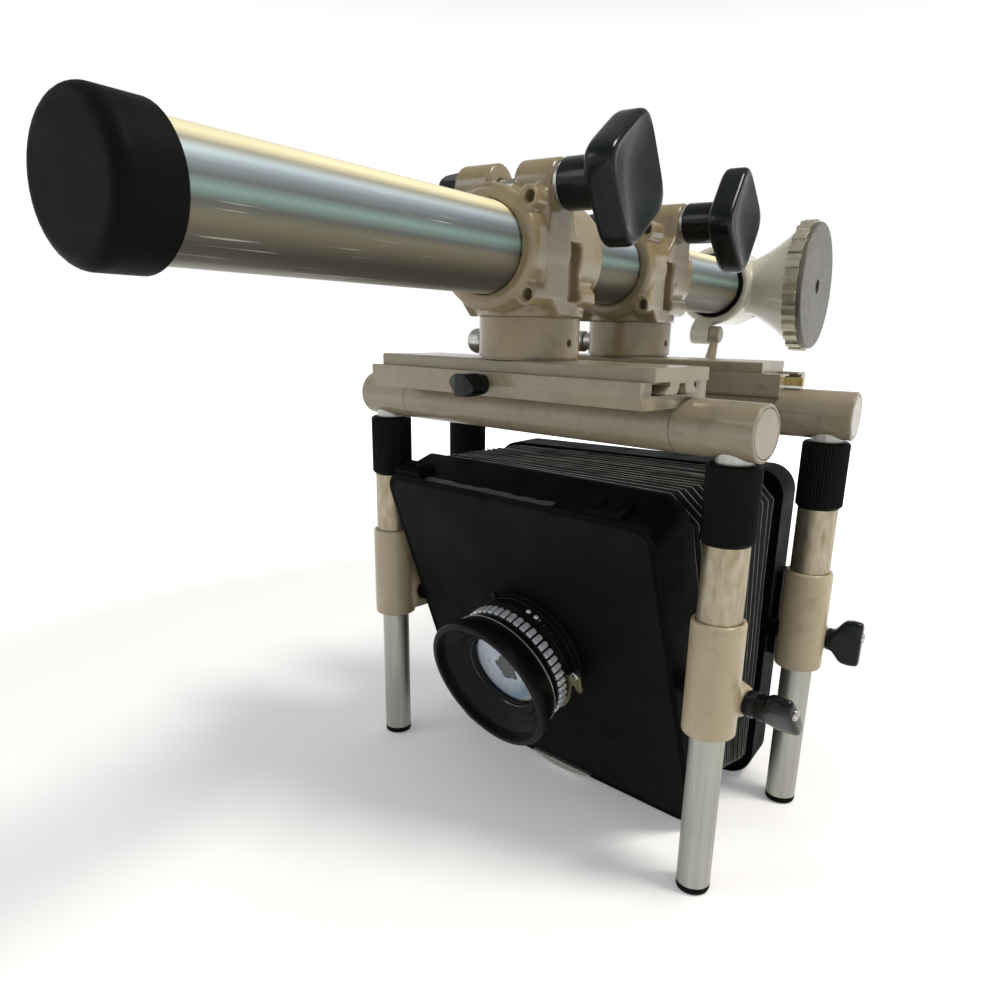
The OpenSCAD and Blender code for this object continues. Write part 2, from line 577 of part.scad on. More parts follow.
// Shutter: a drum at the board, with a smaller core that carries the rings
groove_1 = [4.4, 6.2];
groove_2 = [11, 12.9];
ring_span = [13.2, 20];
core_front = 22.8;
module shutter_body() color([0.12, 0.12, 0.12]) on_lens() rotate_extrude() polygon([
    [glass_r + 1, -board_t - 5], [thread_r, -board_t - 5], [thread_r, 0], [shutter_r - 0.5, 0], [shutter_r, 0.5],
    [shutter_r, groove_1[0]], [core_r, groove_1[0]], [core_r, groove_1[1]], [shutter_r, groove_1[1]],
    [shutter_r, groove_2[0]], [core_r, groove_2[0]], [core_r, ring_span[1] + 0.1], [core_r + 2.6, ring_span[1] + 0.1],
    [core_r + 2.6, core_front - 0.5], [core_r + 2.1, core_front], [glass_r + 1, core_front]]);
module speed_ring() color([0.6, 0.6, 0.6]) on_lens() difference() {
    translate([0, 0, ring_span[0]]) linear_extrude(ring_span[1] - ring_span[0]) polygon([for (i = [0:ridges - 1])
        for (k = [[0, -0.9], [0.12, 0], [0.72, 0], [0.84, -0.9]]) let (a = 360 * (i + k[0]) / ridges, q = shutter_r + 1.1 + k[1]) [q * cos(a), q * sin(a)]]);
    rod_z(core_r + run_fit, 0, 30);
}
// Flat ring in a groove of the drum, with a finger tab
module ring_lever(span, angle, reach, width) {
    t0 = span[0] + 0.1;
    t1 = span[1] - 0.1;
    difference() {
        union() {
            rod_z(shutter_r, t0, t1);
            rotate([0, 0, angle]) {
                translate([shutter_r - 3, -width / 3, t0]) cube([reach - shutter_r, 2 * width / 3, t1 - t0]);
                translate([reach - 3, 0, t0]) linear_extrude(t1 - t0) polygon([[-1.6, -width / 3], [1.5, -width / 2], [3, -width / 4], [2.2, 0], [3, width / 4], [1.5, width / 2], [-1.6, width / 3]]);
            }
        }
        rod_z(core_r + run_fit, t0 - bite, t1 + bite);
    }
}
module aperture_lever() color([0.45, 0.42, 0.3]) on_lens() ring_lever(groove_2, -6, 37.5, 8.5);
module cocking_lever() color([0.2, 0.2, 0.2]) on_lens() ring_lever(groove_1, 118, 33.5, 4);
// Front cell: flared barrel, straight filter thread and a cone down to the glass
wall_r = cell_r - 3.2;
module lens_front_cell() color([0.1, 0.1, 0.1]) on_lens() rotate_extrude() polygon([
    [glass_r - 1.2, core_front], [cell_back_r - 0.8, core_front], [cell_back_r, core_front + 0.8], [cell_r - 0.4, cell_front - 6],
    [cell_r, cell_front - 4.5], [cell_r, cell_front - 0.8], [cell_r - 0.6, cell_front], [wall_r + 0.4, cell_front], [wall_r, cell_front - 0.4],
    [wall_r, cell_front - 3.9], [wall_r - 1, cell_front - 4.3], [glass_r + 2, core_front + 3.8], [glass_r + seat_gap, core_front + 3],
    [glass_r + seat_gap, core_front + 1], [glass_r - 1.2, core_front + 1]]);
dome_r = 60;
module front_glass() color([0.7, 0.8, 0.85, 0.5]) on_lens() rotate_extrude() polygon(concat(
    [[0, core_front + 1], [glass_r, core_front + 1], [glass_r, core_front + 2.4]],
    [for (i = [9:-1:0]) let (q = glass_r * i / 10) [q, core_front + 2.4 + sqrt(dome_r * dome_r - q * q) - sqrt(dome_r * dome_r - glass_r * glass_r)]]));
module iris() color([0.08, 0.08, 0.08]) on_lens() difference() {
    rod_z(glass_r + 1 - seat_gap, 8.5, 9.5);
    rotate([0, 0, 20]) translate([0, 0, 7]) cylinder(r = 6.5, h = 4, $fn = 5);
}
module lens_rear_cell() color([0.1, 0.1, 0.1]) on_lens() rotate_extrude() polygon([
    [0, -16], [14, -16], [15, -17], [18, -17], [19.5, -16], [glass_r + 1 - seat_gap, -board_t - 5 - bite], [glass_r + 1 - seat_gap, 2], [15, 2], [15, -3], [0, -3]]);

// Bellows: pleats folded between the tilted front ring and the upright rear ring
bellows_rings = 2 * pleats + 1;
function folded(q) = let (h = q + fold_rise) [[q - fold_cut, -h], [q, -h + fold_cut], [q, h - fold_cut], [q - fold_cut, h],
    [-q + fold_cut, h], [-q, h - fold_cut], [-q, -h + fold_cut], [-q + fold_cut, -h]];
function tilt_point(p) = [p[0], p[1] * cos(front_tilt) - p[2] * sin(front_tilt), p[1] * sin(front_tilt) + p[2] * cos(front_tilt)];
function swing_point(p) = [p[0] * cos(front_swing) - p[1] * sin(front_swing), p[0] * sin(front_swing) + p[1] * cos(front_swing), p[2]];
function front_point(c) = swing_point(tilt_point([c[0], front_d - pivot_depth + face_gap, c[1] - pivot_up]) + [front_shift, outset + tilt_back, tilt_z]) + [rail_x, front_axis_y, 0];
function rear_point(c) = [rail_x + rear_shift + c[0], rear_axis_y - outset + tilt_back - rear_lead - face_gap, rear_low + rear_h / 2 + c[1]];
function bellows_ring(i, q) = let (t = i / (bellows_rings - 1)) [for (c = folded(q)) front_point(c) * (1 - t) + rear_point(c) * t];
function fold_q(i) = i % 2 == 0 ? fold_in : fold_out;
module bellows() color([0.14, 0.14, 0.14]) placed() {
    outer = [for (i = [0:bellows_rings - 1]) each bellows_ring(i, fold_q(i))];
    inner = [for (i = [0:bellows_rings - 1]) each bellows_ring(i, fold_q(i) - 2)];
    n = 8 * bellows_rings;
    last = n - 8;
    polyhedron(points = concat(outer, inner), faces = [
        for (i = [0:bellows_rings - 2], k = [0:7]) each let (a = 8 * i + k, b = 8 * i + (k + 1) % 8) [
            [a, b, b + 8], [a, b + 8, a + 8], [n + a, n + b + 8, n + b], [n + a, n + a + 8, n + b + 8]],
        for (k = [0:7]) each let (a = k, b = (k + 1) % 8) [
            [a, n + a, n + b], [a, n + b, b],
            [last + a, last + n + b, last + n + a], [last + a, last + b, last + n + b]]]);
}

// Rear frame, with its window, its side pivot blocks and trunnions
rear_mid = rear_low + rear_h / 2;
module rear_frame() color([0.1, 0.1, 0.1]) rear_upright() {
    difference() {
        union() {
            slab_y(-rear_lead, rear_d - rear_lead) translate([0, rear_mid]) rounded(rear_w, rear_h, 13);
            for (side = [-1, 1]) translate([side * (rear_w / 2 + 1.4), 8, tilt_z + 7]) cube([3, 11, 44], center = true);
        }
        slab_y(-rear_lead - bite, rear_d) translate([0, rear_mid]) rounded(window, window, 12);
        slab_y(-rear_lead - bite, -rear_lead + 3) translate([0, rear_mid]) rounded(window + 12, window + 12, 14);
        slab_y(rear_d - rear_lead - 5, rear_d) translate([0, rear_mid]) rounded(rear_w - 16, rear_h - 16, 9);
        translate([0, 0, tilt_z]) rod_x(knob_screw_r + run_fit, -rear_w, rear_w);
    }
    translate([0, 0, tilt_z]) trunnions(rear_w / 2);
}
back_y = rear_d - rear_lead - 5;
module back_frame() color([0.1, 0.1, 0.1]) rear_upright() difference() {
    slab_y(back_y, back_y + 5 + back_d) translate([0, rear_mid]) rounded(rear_w - 17, rear_h - 17, 8);
    slab_y(back_y - bite, back_y + 12 + back_d) translate([0, rear_mid]) rounded(window - 24, window - 4, 4);
}
glass_y = back_y + 5 + back_d;
module glass_frame() color([0.12, 0.12, 0.12]) rear_upright() translate([0, 0, rear_mid]) difference() {
    slab_y(glass_y, glass_y + glass_frame_d) rounded(glass_w + 14, glass_h + 10, 5);
    slab_y(glass_y - bite, glass_y + glass_frame_d + bite) rounded(glass_w - 16, glass_h - 16, 3);
    slab_y(glass_y + 4, glass_y + glass_frame_d + bite) square([glass_w - 8, glass_h - 8], center = true);
}
module ground_glass() color([0.85, 0.88, 0.85, 0.6]) rear_upright() translate([0, 0, rear_mid])
    slab_y(glass_y + 4, glass_y + 6) square([glass_w - 8.2, glass_h - 8.2], center = true);
// Two bent leaf springs that press the glass frame to the back
module back_springs() color([0.75, 0.6, 0.32]) rear_upright() translate([0, glass_y, rear_mid]) for (side = [-1, 1]) {
    edge = glass_h / 2 - 2;
    top = glass_frame_d;
    translate([side * (glass_w / 2 + 11) - 3.5, 0, 0]) slab_x(0, 7)
        polygon([[0, -edge - 3], [1.2, -edge - 3], [1.2, -edge + 20], [5, -14], [5, 14], [1.2, edge - 20], [1.2, edge + 3], [0, edge + 3], [0, edge - 20.4], [3.8, 14], [3.8, -14], [0, -edge + 20.4]]);
}

// Tripod clamp: lined ring round the rail, with a hollow flared neck to the right
flare_x = plate_reach - plate_t - ring_t;
module tripod_liner() color([0.1, 0.1, 0.1]) on_rail(tripod_y) difference() {
    rod_y(tripod_r - 4.6, -tripod_half - 1, tripod_half);
    rod_y(rail_r + run_fit, -tripod_half - 2, tripod_half + bite);
}
module tripod_clamp() color([0.78, 0.74, 0.62]) on_rail(tripod_y) difference() {
    union() {
        turned_y([[0, -tripod_half], [tripod_r - 1.5, -tripod_half], [tripod_r, -tripod_half + 1.5], [tripod_r, tripod_half - 1.5], [tripod_r - 1.5, tripod_half], [0, tripod_half]]);
        turned_x(concat([[0, 10]], [for (i = [0:10]) [15.6 + (plate_r - 17.6) * pow(i / 10, 1.35), 17 + (flare_x - 17) * i / 10]],
            [[plate_r - 3, flare_x], [plate_r - 3, flare_x + ring_t], [0, flare_x + ring_t]]));
        hull() {
            translate([-5, -tripod_half + 1, -tripod_r - 6]) rod_x(6, -6, 6, $fn = 32);
            translate([-9, -tripod_half, -tripod_r + 2]) cube([9, 14, 3]);
        }
    }
    rod_y(tripod_r - 4.6 + run_fit, -tripod_half - bite, tripod_half + bite);
    turned_x([[0, tripod_r + 1], [9, tripod_r + 1], [plate_r - 7, flare_x + 1], [plate_r - 7, flare_x + ring_t + 1], [0, flare_x + ring_t + 1]]);
    translate([-5, -tripod_half + 1, -tripod_r - 6]) rod_x(2.5 + run_fit, -20, 20);
}
module tripod_lever() color([0.72, 0.67, 0.55]) on_rail(tripod_y) translate([-5, -tripod_half + 1, -tripod_r - 6]) {
    turned_x([[0, -6], [2.5, -6], [2.5, 6 + face_gap], [5, 6 + face_gap], [5, 12], [4, 12.6], [0, 12.6]]);
    rotate([-24, 0, 0]) translate([9.4, 0, 0]) turned_z([[0, -1], [2.2, -2], [3.4, -17], [2.8, -19], [0, -20]]);
}
module turned_z(profile) rotate_extrude() polygon(profile);
module tripod_ring() color([0.75, 0.73, 0.66]) on_rail(tripod_y) difference() {
    slab_x(flare_x + 0.1, flare_x + ring_t - 0.1) polygon([for (i = [0:25]) for (k = [[0, 1.5], [0.1, 0.4], [0.42, 0], [0.5, 0.5], [0.6, 1.5], [0.99, 1.5]])
        let (a = 360 * (i + k[0]) / 26, q = plate_r + k[1]) [q * cos(a), q * sin(a)]]);
    rod_x(plate_r - 3 + run_fit, flare_x - bite, flare_x + ring_t + bite);
}
module tripod_plate() color([0.72, 0.7, 0.64]) on_rail(tripod_y) difference() {
    turned_x([[0, plate_reach - socket_len], [8.5, plate_reach - socket_len], [8.5, plate_reach - plate_t], [plate_r, plate_reach - plate_t],
        [plate_r, plate_reach - 0.6], [plate_r - 0.6, plate_reach], [0, plate_reach]]);
    rod_x(socket_r, 0, plate_reach + bite);
}

rail_tube();
rail_caps();
front_clamp_body();
front_clamp_bolt();
front_clamp_nut();
front_clamp_knob();
front_turntable();
front_slide_upper();
front_swing_knob();
front_slide_lower();
front_shift_knob();
front_crossbar();
front_columns();
front_feet();
front_left_collar();
front_right_collar();
front_lift_tubes();
front_sleeves();
front_tilt_knob();
rear_clamp_body();
rear_clamp_bolt();
rear_clamp_nut();
rear_clamp_knob();
rear_turntable();
rear_slide_upper();
rear_swing_knob();
rear_slide_lower();
rear_slide_gib();
rear_shift_knob();
rear_crossbar();
rear_columns();
rear_feet();
rear_left_collar();
rear_right_collar();
rear_lift_tubes();
rear_sleeves();
rear_tilt_knob();
tripod_liner();
tripod_clamp();
tripod_lever();
tripod_ring();
tripod_plate();
front_frame();
lens_board();
board_latches();
board_tab();
shutter_body();
speed_ring();
aperture_lever();
cocking_lever();
lens_front_cell();
front_glass();
iris();
lens_rear_cell();
bellows();
rear_frame();
back_frame();
glass_frame();
ground_glass();
back_springs();
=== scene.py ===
# %% [markdown]
# # A monorail camera dressed for its picture
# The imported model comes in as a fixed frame. The cells below give every
# surface its material, and swap some plain solids for finer pieces: the
# bellows, the castings, the clamp and tilt knobs, and the lens.

# %% Load the model
import json
import math

import bmesh
import bpy
from mathutils import Matrix, Vector, noise


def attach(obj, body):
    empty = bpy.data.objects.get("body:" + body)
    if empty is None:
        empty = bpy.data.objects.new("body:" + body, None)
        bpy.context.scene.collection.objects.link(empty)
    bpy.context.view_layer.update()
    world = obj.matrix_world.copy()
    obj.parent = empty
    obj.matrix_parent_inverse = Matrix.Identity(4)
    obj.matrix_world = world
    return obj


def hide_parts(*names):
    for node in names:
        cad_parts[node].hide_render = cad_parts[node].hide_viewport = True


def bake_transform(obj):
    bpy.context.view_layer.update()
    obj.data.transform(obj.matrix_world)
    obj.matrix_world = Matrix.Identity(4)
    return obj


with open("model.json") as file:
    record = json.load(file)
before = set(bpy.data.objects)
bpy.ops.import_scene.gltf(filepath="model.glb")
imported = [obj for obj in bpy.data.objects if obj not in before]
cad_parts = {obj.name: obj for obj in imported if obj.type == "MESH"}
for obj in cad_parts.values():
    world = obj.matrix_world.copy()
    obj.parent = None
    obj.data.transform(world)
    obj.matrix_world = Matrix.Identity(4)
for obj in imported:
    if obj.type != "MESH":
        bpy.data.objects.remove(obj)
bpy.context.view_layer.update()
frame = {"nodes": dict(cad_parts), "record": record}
scene = bpy.context.scene
scene.view_settings.view_transform = "Standard"
NODES = frame["nodes"]
SLOT = {s["node"]: s["material_slot"] for s in frame["record"]["subparts"]}

# %% [markdown]
# ## The camera's own places
# On the real object every part hangs on the rail through a few stages: clamp,
# swing, slide, legs and frame. A row of matrices does the same here, with the
# sizes of the model's source: the legs come from the swing, the frame from the
# legs and the lens from the frame. Most later pieces are drawn at their own
# centre, and one matrix puts each in its place.

# %% Places
def mm(x, y, z):
    return Matrix.Translation((x / 1000, y / 1000, z / 1000))


def turn(angle, axis):
    return Matrix.Rotation(math.radians(angle), 4, axis)


MIDDLE_X, MIDDLE_Y = -11.855, -34
MIDDLE = mm(MIDDLE_X, MIDDLE_Y, 0)
SWING, TILT, TILT_UP, TILT_BACK = -10.3, 19.6, 86.5, 11.5
FRONT_SHIFT, REAR_SHIFT, OUTSET = -7.1, 5.7, 11.2
PIVOT_DEPTH, LENS_DOWN = 6.4, 3.1
FRONT_Y, REAR_Y, RAIL_X, RAIL_Z = -12.3, 84.9, 5, 256.9
FRONT_SWING = MIDDLE @ mm(RAIL_X, FRONT_Y, 0) @ turn(SWING, "Z")
FRONT_LEGS = FRONT_SWING @ mm(FRONT_SHIFT, OUTSET, 0)
BOARD = FRONT_LEGS @ mm(0, TILT_BACK, TILT_UP) @ turn(TILT, "X")
LENS = BOARD @ mm(0, -PIVOT_DEPTH, -LENS_DOWN) @ turn(90, "X")
REAR_LEGS = MIDDLE @ mm(RAIL_X + REAR_SHIFT, REAR_Y - OUTSET, 0)
BACK = REAR_LEGS @ mm(0, TILT_BACK, 0)
RAIL = MIDDLE @ mm(RAIL_X, 0, RAIL_Z)
FRONT_CLAMP = RAIL @ mm(0, FRONT_Y, 0)
REAR_CLAMP = RAIL @ mm(0, REAR_Y, 0)

# %% [markdown]
# ## Materials
# Nothing on a used object has one flat colour. Most materials here mix two or
# three tones with noise, vary the roughness, and add a fine bump. The noise lies
# in the object's own coordinates, in metres, so its grain keeps its real size
# and needs no unwrapping. A small helper class keeps the node calls short.

# %% Node helper
class Tree:
    def __init__(self, name):
        self.material = bpy.data.materials.new(name)
        self.material.use_nodes = True
        self.nodes = self.material.node_tree.nodes
        self.links = self.material.node_tree.links
        self.shader = self.nodes["Principled BSDF"]
        self.where = self.add("ShaderNodeTexCoord").outputs["Object"]

    def add(self, kind, **settings):
        made = self.nodes.new(kind)
        for key, value in settings.items():
            setattr(made, key, value)
        return made

    def link(self, a, b):
        self.links.new(a, b)
        return b.node

    def noise(self, scale, detail=4.0, stretch=(1, 1, 1), rough=0.5, warp=0.0):
        place = self.add("ShaderNodeMapping")
        place.inputs["Scale"].default_value = stretch
        self.link(self.where, place.inputs["Vector"])
        n = self.add("ShaderNodeTexNoise")
        n.inputs["Scale"].default_value = scale
        n.inputs["Detail"].default_value = detail
        n.inputs["Roughness"].default_value = rough
        n.inputs["Distortion"].default_value = warp
        self.link(place.outputs[0], n.inputs["Vector"])
        return n.outputs["Fac"]

    def ramp(self, value, stops):
        r = self.add("ShaderNodeValToRGB")
        while len(r.color_ramp.elements) < len(stops):
            r.color_ramp.elements.new(0.5)
        for e, (at, colour) in zip(r.color_ramp.elements, stops):
            e.position = at
            e.color = (*colour, 1) if isinstance(colour, tuple) else (colour, colour, colour, 1)
        self.link(value, r.inputs[0])
        return r.outputs[0]

    def mix(self, factor, a, b, blend="MIX"):
        m = self.add("ShaderNodeMix", data_type="RGBA", blend_type=blend)
        for socket, value in ((m.inputs[0], factor), (m.inputs[6], a), (m.inputs[7], b)):
            if isinstance(value, bpy.types.NodeSocket):
                self.link(value, socket)
            elif socket == m.inputs[0]:
                socket.default_value = value
            else:
                socket.default_value = (*value, 1)
        return m.outputs[2]

    def times(self, a, b, how="MULTIPLY"):
        m = self.add("ShaderNodeMath", operation=how)
        for socket, value in zip(m.inputs, (a, b)):
            if isinstance(value, bpy.types.NodeSocket):
                self.link(value, socket)
            else:
                socket.default_value = value
        return m.outputs[0]

    def edges(self, radius, low=0.02, high=0.25):
        """White along worn outer edges, black elsewhere."""
        soft = self.add("ShaderNodeBevel", samples=4)
        soft.inputs["Radius"].default_value = radius
        flat = self.add("ShaderNodeNewGeometry")
        dot = self.add("ShaderNodeVectorMath", operation="DOT_PRODUCT")
        self.link(soft.outputs[0], dot.inputs[0])
        self.link(flat.outputs["Normal"], dot.inputs[1])
        turned = self.times(1.0, dot.outputs["Value"], "SUBTRACT")
        return self.ramp(turned, [(low, 0.0), (high, 1.0)])

    def round_angle(self, x, z):
        """Angle round a tube along Y, as 0 to 1: its right is 0.5 and its top 0.75."""
        apart = self.add("ShaderNodeSeparateXYZ")
        self.link(self.where, apart.inputs[0])
        across = self.times(apart.outputs["X"], x, "SUBTRACT")
        up = self.times(apart.outputs["Z"], z, "SUBTRACT")
        turned = self.times(self.times(up, across, "ARCTAN2"), 0.5 / math.pi)
        return self.times(turned, 0.5, "ADD")

    def relief(self, value, strength, distance=0.0004, round_off=0.0):
        b = self.add("ShaderNodeBump")
        b.inputs["Strength"].default_value = strength
        b.inputs["Distance"].default_value = distance
        self.link(value, b.inputs["Height"])
        if round_off:
            soft = self.add("ShaderNodeBevel", samples=4)
            soft.inputs["Radius"].default_value = round_off
            self.link(soft.outputs[0], b.inputs["Normal"])
        self.link(b.outputs[0], self.shader.inputs["Normal"])

    def set(self, colour=None, rough=None, **sockets):
        if colour is not None:
            self.put("Base Color", colour)
        if rough is not None:
            self.put("Roughness", rough)
        for key, value in sockets.items():
            self.put(key.replace("_", " "), value)
        return self.material

    def put(self, socket, value):
        s = self.shader.inputs[socket]
        if isinstance(value, bpy.types.NodeSocket):
            self.link(value, s)
        elif isinstance(value, tuple) and len(value) == 3 and len(s.default_value) == 4:
            s.default_value = (*value, 1)
        else:
            s.default_value = value


# %% [markdown]
# ## Enamel
# The castings, slides and sleeves wear a cream enamel that has stained and
# rubbed through at its edges. One flat colour would look like new plastic, so
# clouds, stains and a worn edge are mixed, under a thin clear coat.

# %% Enamel
def enamel(name, light, mid, dark, gloss=0.33, worn=(0.30, 0.27, 0.22), bump=0.12):
    t = Tree(name)
    cloud = t.ramp(t.noise(38, 6, warp=0.4), [(0.32, mid), (0.68, light)])
    stain = t.ramp(t.noise(110, 5, rough=0.65), [(0.56, 0.0), (0.74, 0.55)])
    colour = t.mix(stain, cloud, dark)
    rub = t.times(t.edges(0.0012), t.ramp(t.noise(260, 3), [(0.50, 0.0), (0.64, 0.8)]))
    colour = t.mix(rub, colour, worn)
    rough = t.ramp(t.noise(90, 4), [(0.3, gloss - 0.06), (0.7, gloss + 0.10)])
    t.relief(t.noise(1500, 3), bump, 0.0003, 0.0006)
    return t.set(colour, rough, Specular_IOR_Level=0.4, Coat_Weight=0.3, Coat_Roughness=0.12)


# %% [markdown]
# ## Bare metal
# Rail and columns are drawn tube with fine lines along them, so the noise is
# stretched along the tube. The rail also mirrors broad bands of light and dark.
# They are written as tones by the angle round it, because a small studio has
# too little round it to mirror.

# %% Bare metal
BRIGHT_SCRATCH = (0.93, 0.92, 0.88)


def bare(name, light, dark, along, gloss=0.28, centre=None, bands=(), metal=1.0, scratched=BRIGHT_SCRATCH):
    """along squeezes the grain; centre and bands lay a painted reflection, as tones by the angle round a tube
    along Y.
    """
    t = Tree(name)
    line = t.noise(420, 5, stretch=along)
    cloud = t.noise(24, 3)
    colour = t.ramp(t.times(t.times(line, 0.6), t.times(cloud, 0.4), "ADD"), [(0.32, dark), (0.66, light)])
    if centre:
        stops = [(angle / 360 + 0.5, tone) for angle, tone in bands]
        colour = t.mix(1.0, colour, t.ramp(t.round_angle(*centre), stops), "MULTIPLY")
    scratch = t.ramp(t.noise(900, 2, stretch=along, rough=0.8), [(0.66, 0.0), (0.76, 0.5)])
    colour = t.mix(scratch, colour, scratched)
    rough = t.ramp(t.noise(300, 4, stretch=along), [(0.3, gloss - 0.05), (0.7, gloss + 0.09)])
    t.relief(line, 0.10, 0.0002, 0.0004)
    return t.set(colour, rough, Metallic=metal)


# %% [markdown]
# ## Black plastic and black paint
# The knobs are polished moulded plastic, with dust in their pores. Frames,
# collars and the lens are painted, and dull. Both are far darker than they
# look by themselves, since the pale room lifts them.

# %% Black plastic and paint
DUST, BARE_EDGE, SPECK = (0.11, 0.10, 0.085), (0.095, 0.082, 0.065), (0.12, 0.105, 0.085)


def black_plastic(name):
    t = Tree(name)
    # The faint blue-green in this black is a painted reflection of coloured light on the glossy knobs.
    colour = t.ramp(t.noise(60, 3), [(0.35, (0.0025, 0.004, 0.0045)), (0.7, (0.006, 0.009, 0.010))])
    dust = t.ramp(t.noise(1400, 2, rough=0.7), [(0.72, 0.0), (0.82, 0.25)])
    colour = t.mix(dust, colour, DUST)
    rough = t.ramp(t.noise(160, 4), [(0.35, 0.16), (0.7, 0.26)])
    t.relief(t.noise(500, 3), 0.05, 0.0003, 0.0005)
    return t.set(colour, rough, Specular_IOR_Level=0.2)


def black_paint(name, tone=0.004, rough=0.45, grain=900, bump=0.22, shine=0.04, wear=0.45):
    """tone is how dark it is, grain how fine its bumps are, and wear how bare its edges are."""
    t = Tree(name)
    deep = (tone * 0.75, tone * 0.8, tone * 0.8)
    pale = (tone * 1.5, tone * 1.45, tone * 1.35)
    colour = t.ramp(t.noise(30, 5), [(0.3, deep), (0.7, pale)])
    rub = t.times(t.edges(0.0007), t.ramp(t.noise(180, 4), [(0.46, 0.0), (0.66, wear)]))
    colour = t.mix(rub, colour, BARE_EDGE)
    speck = t.ramp(t.noise(1900, 2, rough=0.8), [(0.74, 0.0), (0.82, 0.4)])
    colour = t.mix(speck, colour, SPECK)
    dull = t.ramp(t.noise(70, 4), [(0.3, rough - 0.08), (0.7, rough + 0.1)])
    t.relief(t.noise(grain, 4), bump, 0.0003, 0.0006)
    return t.set(colour, dull, Specular_IOR_Level=shine)


# %% [markdown]
# ## The object's own finishes
# Each finish is one call, with its own tones as the lamps of this scene need
# them. The castings are browner and glossier than the slides.

# %% Cream finishes
CREAM = enamel("cream_enamel", (0.265, 0.226, 0.155), (0.215, 0.18, 0.118), (0.125, 0.10, 0.06), 0.3)
CAST = enamel("cast_enamel", (0.26, 0.205, 0.115), (0.205, 0.155, 0.08), (0.10, 0.074, 0.035), 0.22,
              bump=0.16)
SLEEVE = enamel("sleeve_enamel", (0.40, 0.335, 0.22), (0.33, 0.27, 0.17), (0.20, 0.155, 0.09), 0.34)
CONE = enamel("cone_enamel", (0.56, 0.53, 0.43), (0.46, 0.43, 0.34), (0.26, 0.225, 0.15), 0.3)
WHITE = enamel("white_marks", (0.80, 0.80, 0.78), (0.62, 0.62, 0.60), (0.4, 0.4, 0.38), 0.4)

# %% Metal finishes
# Painted reflection: bands of light and dark and bright highlights, by the angle round the rail.
RAIL_PAINTED_REFLECTION = [
    (-180, (0.42, 0.41, 0.36)), (-110, (0.52, 0.49, 0.42)), (-84, (0.34, 0.32, 0.26)),
    (-66, (0.09, 0.08, 0.06)), (-46, (0.07, 0.064, 0.048)), (-26, (0.16, 0.14, 0.09)),
    (-17, (0.15, 0.135, 0.09)), (-9, (0.085, 0.095, 0.08)), (1, (0.20, 0.30, 0.275)),
    (10, (0.11, 0.125, 0.115)), (20, (0.18, 0.22, 0.25)), (30, (0.40, 0.49, 0.53)),
    (39, (0.30, 0.285, 0.22)), (52, (0.96, 0.88, 0.56)), (76, (0.80, 0.74, 0.55)),
    (98, (0.94, 0.86, 0.52)), (112, (0.55, 0.52, 0.44)), (140, (0.40, 0.43, 0.44)),
    (180, (0.42, 0.41, 0.36)),
]
EVEN, LINES_Y, LINES_Z, CLOUDS_Z = (1, 1, 1), (1, 0.02, 1), (1, 1, 0.03), (1, 1, 0.3)
RAIL_AXIS = ((RAIL_X + MIDDLE_X) / 1000, RAIL_Z / 1000)
ALONG_Y = bare("rail_alloy", (1.0, 1.0, 1.0), (0.86, 0.86, 0.86), LINES_Y, 0.5, RAIL_AXIS, RAIL_PAINTED_REFLECTION, 0.3)
ALONG_Z = bare("column_alloy", (0.43, 0.43, 0.39), (0.31, 0.31, 0.275), LINES_Z, 0.36,
               metal=0.8, scratched=(0.6, 0.6, 0.56))
LIFT = bare("lift_alloy", (0.40, 0.355, 0.265), (0.22, 0.175, 0.105), CLOUDS_Z, 0.34,
            metal=0.75, scratched=(0.6, 0.55, 0.45))
STEEL = bare("steel", (0.50, 0.49, 0.46), (0.33, 0.32, 0.30), EVEN, 0.3)
PLATE = bare("plate_alloy", (0.16, 0.152, 0.125), (0.11, 0.104, 0.083), EVEN, 0.42,
             metal=0.6, scratched=(0.4, 0.38, 0.33))
KNURL = bare("knurl_alloy", (0.50, 0.47, 0.37), (0.34, 0.31, 0.23), EVEN, 0.34, metal=0.8)
LENS_SILVER = bare("ridge_silver", (0.80, 0.84, 0.90), (0.56, 0.58, 0.62), EVEN, 0.34, metal=0.55)
TAB = bare("tab_alloy", (0.50, 0.49, 0.45), (0.33, 0.32, 0.30), EVEN, 0.42)

# %% Black finishes
PLASTIC = black_plastic("black_plastic")
BLACK = black_paint("black_enamel", 0.0032, 0.55, 900, 0.2, 0.02, 0.4)
BOARD_BLACK = black_paint("board_black", 0.0045, 0.55, 1600, 0.25, 0.05, 0.3)
COLLAR = black_paint("collar_black", 0.0035, 0.4, 700, 0.1, 0.05, 0.06)
LENS_BLACK = black_paint("lens_black", 0.005, 0.34, 2500, 0.05, 0.10, 0.04)
RUBBER = black_paint("rubber", 0.0034, 0.5, 1200, 0.2, 0.04, 0.1)
# Grey paint for the strip along the front of the lens frame's top.
GREY_STRIP = black_paint("frame_top_grey", 0.045, 0.38, 900, 0.15, 0.3, 0.2)
print("plain finishes ready:", len(bpy.data.materials))

# %% [markdown]
# ## Brass
# The slide's gib strip and the lens's aperture tab are brass that has gone
# dull, one golden and one olive.

# %% Brass
def brass(name, light, dark, rough):
    t = Tree(name)
    colour = t.ramp(t.noise(150, 5), [(0.3, dark), (0.7, light)])
    t.relief(t.noise(900, 3), 0.1, 0.0003, 0.0004)
    return t.set(colour, t.ramp(t.noise(200, 4), [(0.3, rough - 0.06), (0.7, rough + 0.12)]), Metallic=0.9)


BRASS = brass("gib_brass", (0.62, 0.46, 0.20), (0.36, 0.26, 0.11), 0.34)
OLIVE = brass("lever_brass", (0.30, 0.27, 0.15), (0.16, 0.14, 0.08), 0.4)
